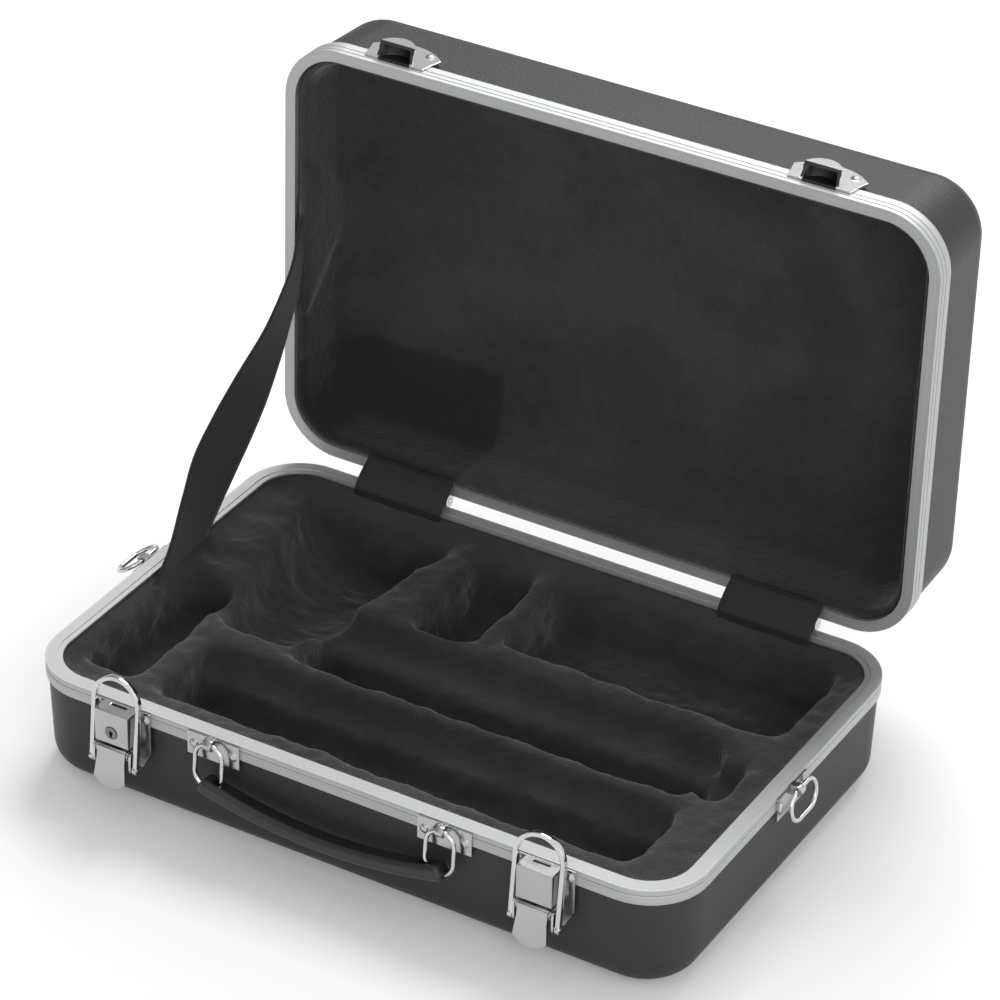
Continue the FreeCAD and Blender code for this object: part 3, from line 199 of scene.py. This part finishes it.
def wire_up(shader, place, height=None, depth=0.0, **changing):
    """Link what changes over the surface, and a bump of a real depth in metres."""
    for socket, value in changing.items():
        place.tree.links.new(value.socket, shader.inputs[socket.replace("_", " ")])
    if height is not None:
        bump = place.node("ShaderNodeBump", (),
                          {"Height": height, "Distance": depth, "Strength": 1.0})
        place.tree.links.new(bump.socket, shader.inputs["Normal"])


# The floor's paper is shaded only by the case's own shadow. The surround is white
# to the eye, lights the case evenly, and shows darker at the left in the metal.
PAPER_GLOW = 0.14
PAPER_DARK = grey(0.84)
PAPER_LIGHT = grey(0.85)
WHITE = grey(1.0)
AMBIENT = 0.55
MIRRORED_LEFT = grey(0.32)
paper, shader, place = new_material("studio_paper", Roughness=0.9, Specular_IOR_Level=0.0,
                                    Emission_Color=WHITE, Emission_Strength=PAPER_GLOW)
clouding = place.noise(3, 1).step(0.2, 0.8)
wire_up(shader, place, Base_Color=clouding.mix(PAPER_DARK, PAPER_LIGHT))
floor.data.materials.append(paper)
world = bpy.data.worlds.new("surround")
bpy.context.scene.world = world
world.use_nodes = True
sky = world.node_tree
ambient = sky.nodes["Background"]
ambient.inputs["Color"].default_value = WHITE
ambient.inputs["Strength"].default_value = AMBIENT
ambient = Wire(sky, ambient.outputs[0])
heading = Wire(sky, sky.nodes.new("ShaderNodeTexCoord").outputs["Generated"])
from_left = heading.part(0).step(-0.75, 0.1)
mirrored = heading.node("ShaderNodeBackground", (),
                        {"Color": from_left.mix(MIRRORED_LEFT, WHITE), "Strength": 1.0})
seen = heading.node("ShaderNodeBackground", (), {"Color": WHITE, "Strength": 1.0})
rays = sky.nodes.new("ShaderNodeLightPath")
glossy = Wire(sky, rays.outputs["Is Glossy Ray"])
direct = Wire(sky, rays.outputs["Is Camera Ray"])
direct = direct.most(Wire(sky, rays.outputs["Is Transmission Ray"]))
blend = glossy.node("ShaderNodeMixShader", (), {0: glossy, 1: ambient, 2: mirrored})
blend = direct.node("ShaderNodeMixShader", (), {0: direct, 1: blend, 2: seen})
sky.links.new(blend.socket, sky.nodes["World Output"].inputs["Surface"])
bpy.context.scene.view_settings.view_transform = "Standard"

# The two shells: vacuum-formed ABS sheet with a fine leather grain pressed in,
# slate black. The lid is a little deeper than the base.
GRAIN = 900
GRAIN_DEPTH = 0.00022
SLATE_DARK = grey(0.016, -0.08)
SLATE_LIGHT = grey(0.032, -0.06)


def dress(material, names):
    """Give a finish to CAD nodes."""
    for name in names:
        mesh = nodes[name].data
        mesh.materials.clear()
        mesh.materials.append(material)


abs_sheet, shader, place = new_material("grained_abs", Specular_IOR_Level=0.35)
pebble = place.node("ShaderNodeTexVoronoi", {"feature": "SMOOTH_F1"},
                    {"Vector": place, "Scale": GRAIN, "Smoothness": 0.6})
fine = place.noise(GRAIN*2.4, 3)
wear = place.noise(9, 4).step(0.35, 0.75)
tone = pebble.step(0.1, 0.6)*0.5 + wear*0.5
wire_up(shader, place, pebble*0.7 + fine*0.5, GRAIN_DEPTH,
        Base_Color=tone.mix(SLATE_DARK, SLATE_LIGHT),
        Roughness=0.5 + wear*0.08 - fine*0.1)
dress(abs_sheet, ["base_shell", "lid_shell"])

# The valances: extruded aluminium rails bent round each half, satin, with the
# fine lengthwise lines of the die all the way round.
RING_REACH = 0.0044
CASE_LENGTH = 2*(joints["strap_ring_right_swing"]["pos_m"][0] - RING_REACH)
CASE_WIDTH = 0.2372
CORNER = 0.0317
OPEN_ANGLE = math.radians(joints["lid_hinge"]["range_deg"][1])
PIN = Vector(joints["lid_hinge"]["pos_m"])
DIE_LINES = 1500
DIE_WAVES = 420
DIE_DEPTH = 0.000025
RAIL_DARK = grey(0.47, -0.015)
RAIL_LIGHT = grey(0.55, -0.01)
RAIL_EDGE = 0.00018


def lid_place(place):
    """Where a point of the open lid lies in the case when it is shut."""
    moved = place.node("ShaderNodeVectorMath", {"operation": "SUBTRACT"}, {0: place, 1: PIN})
    turned = place.node("ShaderNodeVectorRotate", {"rotation_type": "X_AXIS"},
                        {"Vector": moved, "Angle": OPEN_ANGLE})
    return place.node("ShaderNodeVectorMath", {"operation": "ADD"}, {0: turned, 1: PIN})


def rim_distance(place):
    """How far outside the outline of the case a point lies, negative inside."""
    over_x = abs(place.part(0)) - (CASE_LENGTH/2 - CORNER)
    over_y = abs(place.part(1)) - (CASE_WIDTH/2 - CORNER)
    out_x = over_x.most(0)
    out_y = over_y.most(0)
    corner = (out_x*out_x + out_y*out_y).root()
    return corner + over_x.most(over_y).least(0) - CORNER


def rail_finish(name, shut_place):
    """Satin aluminium with lines along the rail."""
    rail, shader, place = new_material(name, Metallic=1.0)
    at = shut_place(place)
    section = place.node("ShaderNodeCombineXYZ", (), {"X": rim_distance(at), "Y": at.part(2)})
    lines = section.noise(DIE_LINES, 2)
    waves = section.noise(DIE_WAVES, 1)
    smudge = place.noise(22, 3)
    tone = (lines*0.5 + waves*0.5).step(0.3, 0.7)
    wire_up(shader, place, lines*0.7 + waves*0.6, DIE_DEPTH,
            Base_Color=tone.mix(RAIL_DARK, RAIL_LIGHT), Roughness=0.56 + smudge*0.1)
    return rail


def soften(names, width):
    """Take the sharpness off the edges of CAD nodes, as a die or tumbling does."""
    for name in names:
        weld = nodes[name].modifiers.new("weld", "WELD")
        weld.merge_threshold = 1e-5
        flats = nodes[name].modifiers.new("flats", "DECIMATE")
        flats.decimate_type = "DISSOLVE"
        flats.angle_limit = math.radians(1)
        edges = nodes[name].modifiers.new("edges", "BEVEL")
        edges.width = width
        edges.segments = 2
        edges.limit_method = "ANGLE"
        edges.angle_limit = math.radians(40)


dress(rail_finish("base_rail", lambda place: place), ["base_valance"])
dress(rail_finish("lid_rail", lid_place), ["lid_valance"])
soften(["base_valance", "lid_valance"], RAIL_EDGE)

# The stay strap: one length of black woven webbing that stops the lid, its ends
# tucked under the plush and riveted there. It hangs a little slack and twists.
STRAP_ANGLE = math.radians(46.1)
STRAP_START = Vector((-0.17485, 0.012, 0.061))
STRAP_SPAN = 0.16184
STRAP_TAIL = 0.044
STRAP_WIDTH = 0.038
STRAP_THICK = 0.0012
STRAP_EDGE = 0.0004
STRAP_STEPS = (98, 14)
STRAP_LENGTH = STRAP_SPAN + 2*STRAP_TAIL
# Each row: the place along the strap from the base's rim, its shift across and
# outwards, and its twist in degrees.
STRAP_COURSE = (
    (-STRAP_TAIL, 0.0, 0.0, 0),
    (-0.008, -0.0005, 0.0, -5),
    (0.023, 0.0014, 0.0008, 2),
    (0.045, 0.0022, 0.0012, 8),
    (0.068, 0.0010, 0.0004, 7),
    (0.090, -0.0003, -0.0006, 2),
    (0.118, -0.0008, -0.0018, -9),
    (0.143, -0.0010, -0.0008, -15),
    (STRAP_SPAN - 0.004, -0.0030, 0.0004, -13),
    (0.170, -0.0030, 0.0010, -6),
    (0.180, -0.0020, 0.0010, -1),
    (STRAP_SPAN + STRAP_TAIL, 0.0, 0.0, 0),
)
YARN = 0.0013
YARN_DEPTH = 0.00022
SELVEDGE = 0.0022
WEBBING_DARK = grey(0.011, -0.03)
WEBBING_LIGHT = grey(0.026, -0.03)
strap_run = Vector((0, math.cos(STRAP_ANGLE), math.sin(STRAP_ANGLE)))
strap_across = Vector((0, -math.sin(STRAP_ANGLE), math.cos(STRAP_ANGLE)))


def select_only(*things):
    """Select some objects, the first of them active."""
    bpy.ops.object.select_all(action="DESELECT")
    for thing in things:
        thing.select_set(True)
    bpy.context.view_layer.objects.active = things[0]


def slope(table, index, column):
    """How steeply a column of a table runs at a row, level at its two ends."""
    if index in (0, len(table) - 1):
        return 0
    before, after = table[index - 1], table[index + 1]
    return (after[column] - before[column])/(after[0] - before[0])


def eased(table, along):
    """The values of a table at a place, on a smooth curve through its rows."""
    index = sum(row[0] <= along for row in table[1:-1])
    before, after = table[index], table[index + 1]
    length = after[0] - before[0]
    share = (along - before[0])/length
    values = []
    for column in range(1, len(before)):
        first = slope(table, index, column)*length
        last = slope(table, index + 1, column)*length
        rise = after[column] - before[column]
        values.append(before[column] + share*first + share**2*(3*rise - 2*first - last)
                      + share**3*(first + last - 2*rise))
    return values


def strip(name, length, width, steps, shape):
    """A strip of cloth from a grid, shaped by a function of the places along and
    across it, with a UV map in metres."""
    bpy.ops.object.select_all(action="DESELECT")
    bpy.ops.mesh.primitive_grid_add(x_subdivisions=steps[0], y_subdivisions=steps[1], size=1)
    piece = bpy.context.object
    piece.name = name
    flat = [(vertex.co.x*length, vertex.co.y*width) for vertex in piece.data.vertices]
    marks = piece.data.uv_layers.active.data
    for loop in piece.data.loops:
        marks[loop.index].uv = flat[loop.vertex_index]
    for vertex, (along, across) in zip(piece.data.vertices, flat):
        vertex.co = shape(along, across)
    bpy.ops.object.shade_smooth()
    return piece


def thicken(piece, thick, edge):
    """Give a strip its thickness and a rounded edge."""
    wall = piece.modifiers.new("wall", "SOLIDIFY")
    wall.thickness = thick
    wall.offset = 0
    wall.use_even_offset = True
    round_edge = piece.modifiers.new("edge", "BEVEL")
    round_edge.width = edge
    round_edge.segments = 2
    round_edge.limit_method = "ANGLE"
    round_edge.angle_limit = math.radians(50)
    select_only(piece)
    for modifier in (wall.name, round_edge.name):
        bpy.ops.object.modifier_apply(modifier=modifier)


def strap_point(along, across):
    """A point of the strap's middle sheet, along it from its middle."""
    place = along + STRAP_SPAN/2
    shift, out, twist = eased(STRAP_COURSE, place)
    turn = math.radians(twist)
    sideways = strap_across*math.cos(turn) - Vector((1, 0, 0))*math.sin(turn)
    middle = STRAP_START + strap_run*place + strap_across*shift - Vector((out, 0, 0))
    return middle + sideways*across


strap = strip("strap_webbing", STRAP_LENGTH, STRAP_WIDTH, STRAP_STEPS, strap_point)
thicken(strap, STRAP_THICK, STRAP_EDGE)
webbing, shader, place = new_material("woven_webbing", Specular_IOR_Level=0.3,
                                      Sheen_Weight=0.25, Sheen_Roughness=0.5)
flat = place.node("ShaderNodeUVMap")
rows = (flat.part(0)*(2*math.pi/YARN)).wave()
columns = (flat.part(1)*(math.pi/YARN)).wave()
weave = rows*columns*0.5 + 0.5
lint = flat.noise(400, 3)
selvedge = abs(flat.part(1)).step(STRAP_WIDTH/2 - SELVEDGE, STRAP_WIDTH/2 - 0.0016)
wire_up(shader, place, weave + lint*0.4 - selvedge*0.6, YARN_DEPTH,
        Base_Color=(weave*0.6 + lint*0.4).mix(WEBBING_DARK, WEBBING_LIGHT),
        Roughness=0.62 + lint*0.2)
strap.data.materials.append(webbing)
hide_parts("stay_strap")
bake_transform(strap)

# The base's insert: a moulded tray flocked with black plush, pushed in under the
# valance's lip. The pile rounds the edges of its wells and hides the strap's end.
INSERT_VOXEL = 0.0020
INSERT_ROUNDS = 60
INSERT_LUMPS = ((0.024, 0.0042), (0.009, 0.0020))
INSERT_TONES = (0.025, 0.074)
INSERT_TOP = 0.0546
LINING_RIM = 0.1252
POCKET_DEPTH = 0.0042
POCKET_WIDTH = 0.047
POCKET_SPARE = 0.002
PILE_KEEP = 0.0085
PILE_FREE = 0.016
PILE_HELD = 0.12
PILE_DEPTH = 0.0011
FREE = "free_pile"
NAP_PATCHES = 11
PILE_TUFTS = 150
PILE_FIBRES = 1100


def pocket_filler(name, of_lid):
    """Padding over an end of the strap: a block in the strap's own line, cut off
    level with the insert's top or with the lining's rim."""
    bpy.ops.object.select_all(action="DESELECT")
    bpy.ops.mesh.primitive_cube_add(size=1)
    block = bpy.context.object
    block.name = name
    for vertex in block.data.vertices:
        across = vertex.co.z*POCKET_WIDTH
        if of_lid:
            near = (LINING_RIM - STRAP_START.y - across*strap_across.y)/strap_run.y
            far = STRAP_SPAN + STRAP_TAIL + POCKET_SPARE
        else:
            near = (INSERT_TOP - STRAP_START.z - across*strap_across.z)/strap_run.z
            far = -STRAP_TAIL - POCKET_SPARE
        along = near if vertex.co.y > 0 else far
        deep = Vector(((vertex.co.x + 0.5)*POCKET_DEPTH - STRAP_THICK, 0, 0))
        vertex.co = STRAP_START + strap_run*along + strap_across*across + deep
    bpy.ops.object.mode_set(mode="EDIT")
    bpy.ops.mesh.select_all(action="SELECT")
    bpy.ops.mesh.normals_make_consistent(inside=False)
    bpy.ops.object.mode_set(mode="OBJECT")
    return block


def shut_point(point, of_lid):
    """A point of the case, as it lies when the case is shut."""
    if not of_lid:
        return point
    return PIN + Matrix.Rotation(OPEN_ANGLE, 3, "X") @ (point - PIN)


def inside(point):
    """How far a point lies inside the outline of the case."""
    over_x = abs(point.x) - (CASE_LENGTH/2 - CORNER)
    over_y = abs(point.y) - (CASE_WIDTH/2 - CORNER)
    corner = math.hypot(max(over_x, 0), max(over_y, 0))
    return CORNER - corner - min(max(over_x, over_y), 0)


def plush_piece(node, name, filler, voxel, rounds, lumps, of_lid):
    """A soft copy of a CAD node: its strap pocket filled, its edges rounded by the
    pile and its surface uneven, but its border left where the valance holds it."""
    piece = bpy.data.objects.new(name, nodes[node].data.copy())
    bpy.context.collection.objects.link(piece)
    select_only(piece, filler)
    bpy.ops.object.join()
    bpy.ops.object.mode_set(mode="EDIT")
    bpy.ops.mesh.select_all(action="SELECT")
    bpy.ops.mesh.remove_doubles(threshold=1e-5)
    bpy.ops.object.mode_set(mode="OBJECT")
    skin = piece.modifiers.new("skin", "REMESH")
    skin.mode = "VOXEL"
    skin.voxel_size = voxel
    bpy.ops.object.modifier_apply(modifier=skin.name)
    free = piece.vertex_groups.new(name=FREE)
    for vertex in piece.data.vertices:
        depth = inside(shut_point(vertex.co, of_lid))
        share = min(max((depth - PILE_KEEP)/(PILE_FREE - PILE_KEEP), 0), 1)
        free.add([vertex.index], PILE_HELD + (1 - PILE_HELD)*share, "REPLACE")
    soft = piece.modifiers.new("soft", "SMOOTH")
    soft.factor = 0.5
    soft.iterations = rounds
    soft.vertex_group = FREE
    bpy.ops.object.modifier_apply(modifier=soft.name)
    for index, (scale, height) in enumerate(lumps):
        clouds = bpy.data.textures.new(f"{name}_lumps_{index}", "CLOUDS")
        clouds.noise_scale = scale
        clouds.noise_depth = 2
        lump = piece.modifiers.new(f"lump_{index}", "DISPLACE")
        lump.texture = clouds
        lump.texture_coords = "LOCAL"
        lump.strength = height
        lump.mid_level = 0.55
        lump.vertex_group = FREE
        bpy.ops.object.modifier_apply(modifier=lump.name)
    bpy.ops.object.shade_smooth()
    return piece


def plush_finish(name, tones, shade=None):
    """Short black pile: patches of nap that lean one way or another, and fibres."""
    plush, shader, place = new_material(name, Specular_IOR_Level=0.1, Sheen_Weight=0.35,
                                        Sheen_Roughness=0.4, Roughness=0.95)
    patches = place.noise(NAP_PATCHES, 4, (1, 1, 1.4)).step(0.35, 0.65)
    tufts = place.noise(PILE_TUFTS, 4)
    fibres = place.noise(PILE_FIBRES, 2, (1, 1, 0.4))
    tone = patches*0.25 + tufts*0.35 + fibres*0.35
    if shade is not None:
        tone = tone*shade(place)
    dark, light = tones
    wire_up(shader, place, tufts*0.6 + fibres*0.5, PILE_DEPTH,
            Base_Color=tone.mix(grey(dark, -0.04), grey(light, -0.04)))
    return plush


insert = plush_piece("base_insert", "plush_insert", pocket_filler("base_pocket", False),
                     INSERT_VOXEL, INSERT_ROUNDS, INSERT_LUMPS, of_lid=False)
insert.data.materials.clear()
insert.data.materials.append(plush_finish("insert_plush", INSERT_TONES))
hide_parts("base_insert")
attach(insert, "base")

# The lid's lining: the same plush over a padded tray. The nap is brushed flat in
# a square at the lower left and in a curved band at the right.
LINING_VOXEL = 0.0022
LINING_ROUNDS = 30
LINING_LUMPS = ((0.030, 0.0024), (0.009, 0.0008))
LINING_TONES = (0.018, 0.082)
SQUARE_RIGHT = -0.079
SQUARE_TOP = 0.115
BAND_MIDDLE = (0.045, 0.192)
BAND_RADIUS = 0.066
BAND_WIDTH = 0.014


def brushed(place):
    """How light the lining's nap is: about 1, less where it is brushed flat, and a little
    lighter towards the left as painted light.
    """
    across = place.part(0)
    height = place.part(2)
    wander = (place.noise(30, 3) - 0.5)*0.02
    square = 1 - (across + wander*0.3).step(SQUARE_RIGHT - 0.002, SQUARE_RIGHT + 0.002)
    square = square*(1 - (height + wander*0.3).step(SQUARE_TOP - 0.003, SQUARE_TOP + 0.003))
    from_x = across - BAND_MIDDLE[0]
    from_z = height - BAND_MIDDLE[1]
    ring = (from_x*from_x + from_z*from_z).root() + wander
    band = 1 - abs(ring - BAND_RADIUS).step(BAND_WIDTH*0.5, BAND_WIDTH*1.6)
    band = band*(from_x + from_z*0.3 + wander).step(-0.03, 0.02)
    # Painted light: the lining's colour is made a little lighter towards the left, where more
    # light falls.
    left = 1 - (across + wander).step(-0.09, 0.07)
    return (1 - square*0.6)*(1 - band*0.3)*(0.95 + left*0.06)


lining = plush_piece("lid_lining", "plush_lining", pocket_filler("lid_pocket", True),
                     LINING_VOXEL, LINING_ROUNDS, LINING_LUMPS, of_lid=True)
lining.data.materials.clear()
lining.data.materials.append(plush_finish("lining_plush", LINING_TONES, brushed))
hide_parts("lid_lining")
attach(lining, "lid")

# The hinge covers: strips of coated cloth glued to the insert's border and under
# the lid's lining, which hide the hinges from inside; each is shaped as it lies with the lid
# open.
SIDES = ("left", "right")
COVER_THICK = 0.0008
COVER_EDGE = 0.0002
COVER_SLACK = 0.0012
COVER_KNEE = 0.0615
COVER_SHOULDER = 0.003
COVER_STEPS = (34, 12)
COVER_YARN = 0.0009
COVER_DEPTH = 0.00008
COATING_DARK = grey(0.016, -0.03)
COATING_LIGHT = grey(0.028, -0.03)
coated, shader, place = new_material("coated_cloth", Specular_IOR_Level=0.4, Roughness=0.6)
flat = place.node("ShaderNodeUVMap")
cloth_rows = (flat.part(0)*(2*math.pi/COVER_YARN)).wave()
cloth_columns = (flat.part(1)*(2*math.pi/COVER_YARN)).wave()
haze = flat.noise(60, 3)
wire_up(shader, place, cloth_rows*cloth_columns + haze, COVER_DEPTH,
        Base_Color=haze.mix(COATING_DARK, COATING_LIGHT))
for side in SIDES:
    low, high = (Vector(corner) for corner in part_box(f"hinge_cover_{side}"))
    front = low.y + COVER_THICK/2
    rear = high.y - COVER_THICK/2
    foot = low.z
    head = high.z
    shoulder = head - COVER_SHOULDER
    rise = COVER_KNEE - foot
    slant = math.hypot(rear - front, shoulder - COVER_KNEE)
    total = rise + slant + (head - shoulder)
    width = high.x - low.x
    middle = (low.x + high.x)/2

    def cover_point(along, across):
        """A point of the cover: up the border, over the gap, up under the lining."""
        place = along + total/2
        if place < rise:
            y, z = front, foot + place
        elif place < rise + slant:
            share = (place - rise)/slant
            sag = math.sin(math.pi*share)*COVER_SLACK
            y = front + (rear - front)*share - sag*0.7
            z = COVER_KNEE + (shoulder - COVER_KNEE)*share + sag*0.7
        else:
            y, z = rear, shoulder + place - rise - slant
        return Vector((middle + across, y, z))

    cover = strip(f"cover_cloth_{side}", total, width, COVER_STEPS, cover_point)
    settle = cover.modifiers.new("settle", "SMOOTH")
    settle.factor = 0.5
    settle.iterations = 4
    bpy.ops.object.modifier_apply(modifier=settle.name)
    thicken(cover, COVER_THICK, COVER_EDGE)
    cover.data.materials.append(coated)
    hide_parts(f"hinge_cover_{side}")
    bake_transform(cover)


# The hinges: butt hinges of pressed steel, nickel plated, four rivets to a leaf,
# with their knuckles rolled round a steel pin.
def plated(name, tone, roughness, streak, smudges=0.06):
    """Nickel or chrome plate: faint smudges, and streaks from polishing."""
    plate, shader, place = new_material(name, Metallic=1.0)
    smudge = place.noise(60, 3).step(0.3, 0.75)
    polish = place.noise(700, 2, (0.06, 1, 1))
    wire_up(shader, place, polish, streak,
            Base_Color=smudge.mix(grey(tone*0.93, -0.01), grey(tone, -0.01)),
            Roughness=roughness + smudge*smudges + polish*0.05)
    return plate


def both(*names):
    """The left and the right node of each name."""
    return [f"{name}_{side}" for name in names for side in SIDES]


dress(plated("hinge_steel", tone=0.6, roughness=0.24, streak=0.00003),
      both("hinge_leaf_base", "hinge_leaf_lid", "hinge_pin"))
dress(plated("rivet_nickel", tone=0.52, roughness=0.16, streak=0.00001),
      ["hinge_rivets_base", "hinge_rivets_lid", "latch_rivets", "handle_rivets",
       "catch_rivets", "side_rivets", "stay_rivets_base", "stay_rivets_lid",
       "stay_anchor_base", "stay_anchor_lid"])

# The draw latches: a riveted plate with ears, a pressed box, a lever on a pin
# whose cranks carry the bail, and in the left one a key lock. All nickel plated.
LATCH_EDGE = 0.0003
LOCK_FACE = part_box("lock_cylinder")[0][1]
LOCK_METAL = grey(0.2)
LOCK_RECESS_SHADE = grey(0.008)
dress(plated("plate_nickel", tone=0.46, roughness=0.2, streak=0.00002), both("latch_plate"))
dress(plated("pressed_nickel", tone=0.47, roughness=0.16, streak=0.00002),
      both("latch_housing", "latch_lever"))
dress(plated("wire_chrome", tone=0.62, roughness=0.06, streak=0.00001, smudges=0.03),
      both("latch_bail", "latch_cranks", "latch_pin", "handle_ring", "side_ring"))
soften(both("latch_plate", "latch_housing", "latch_lever", "latch_bail"), LATCH_EDGE)
lock_metal, shader, place = new_material("lock_nickel", Metallic=1.0)
# Painted shade: behind the lock's face, in its keyway, the colour is painted near black.
recess_shade = place.part(1).step(LOCK_FACE + 0.0001, LOCK_FACE + 0.0007)
scratches = place.noise(900, 2)
wire_up(shader, place, scratches, 0.00002, Base_Color=recess_shade.mix(LOCK_METAL, LOCK_RECESS_SHADE),
        Roughness=0.2 + recess_shade*0.5 + scratches*0.05)
dress(lock_metal, ["lock_cylinder"])

# The catches on the lid and the brackets of the rings, pressed and plated alike.
# Inside and under its hollow lug a catch is painted near black, as painted shade.
CATCH_EDGE = 0.0004
BRACKET_EDGE = 0.0003
CATCH_BRIGHT = grey(0.85)
CATCH_PAINTED_SHADE = grey(0.07)
LUG_SPREAD = 0.1195
LUG_SHIFT = -0.004
LUG_HEIGHT = 0.0644
LUG_HOLLOW = 0.0092
LUG_BACK = -0.1265
FOOT_HEIGHT = 0.0659
FOOT_FACE = -0.1186
FOOT_SLOPE = 0.4444
catch_metal, shader, place = new_material("catch_nickel", Metallic=1.0)
at = lid_place(place)
from_x = abs(at.part(0) - LUG_SHIFT) - LUG_SPREAD
from_z = at.part(2) - LUG_HEIGHT
radius = (from_x*from_x + from_z*from_z).root()
hollow = 1 - radius.step(LUG_HOLLOW, LUG_HOLLOW + 0.0003)
hollow = hollow*at.part(1).step(LUG_BACK - 0.0002, LUG_BACK + 0.0002)
over_foot = at.part(2) - FOOT_HEIGHT - (FOOT_FACE - at.part(1))*FOOT_SLOPE
under = (1 - over_foot.step(0.0003, 0.0006))*(1 - at.part(1).step(-0.1206, -0.1200))
# Painted shade: the catch's colour goes near black in its hollow and under its foot.
painted_shade = hollow.most(under)
polish = place.noise(500, 2)
wire_up(shader, place, polish, 0.00001, Base_Color=painted_shade.mix(CATCH_BRIGHT, CATCH_PAINTED_SHADE),
        Roughness=0.12 + painted_shade*0.3 + polish*0.05)
dress(catch_metal, both("catch"))
soften(both("catch"), CATCH_EDGE)
dress(plated("bracket_nickel", tone=0.5, roughness=0.16, streak=0.00002),
      both("handle_bracket", "side_bracket"))
soften(both("handle_bracket", "side_bracket"), BRACKET_EDGE)

# The grip: moulded in black vinyl over a core, satin, with the faint lengthwise
# flow lines of the mould.
VINYL_DARK = grey(0.012, -0.05)
VINYL_LIGHT = grey(0.024, -0.05)
vinyl, shader, place = new_material("moulded_vinyl", Specular_IOR_Level=0.5)
flow = place.noise(260, 3, (0.05, 1, 1))
speck = place.noise(1600, 2)
wire_up(shader, place, flow*0.8 + speck*0.2, 0.00008,
        Base_Color=flow.mix(VINYL_DARK, VINYL_LIGHT),
        Roughness=0.3 + flow*0.12 + speck*0.05)
dress(vinyl, ["handle_grip"])
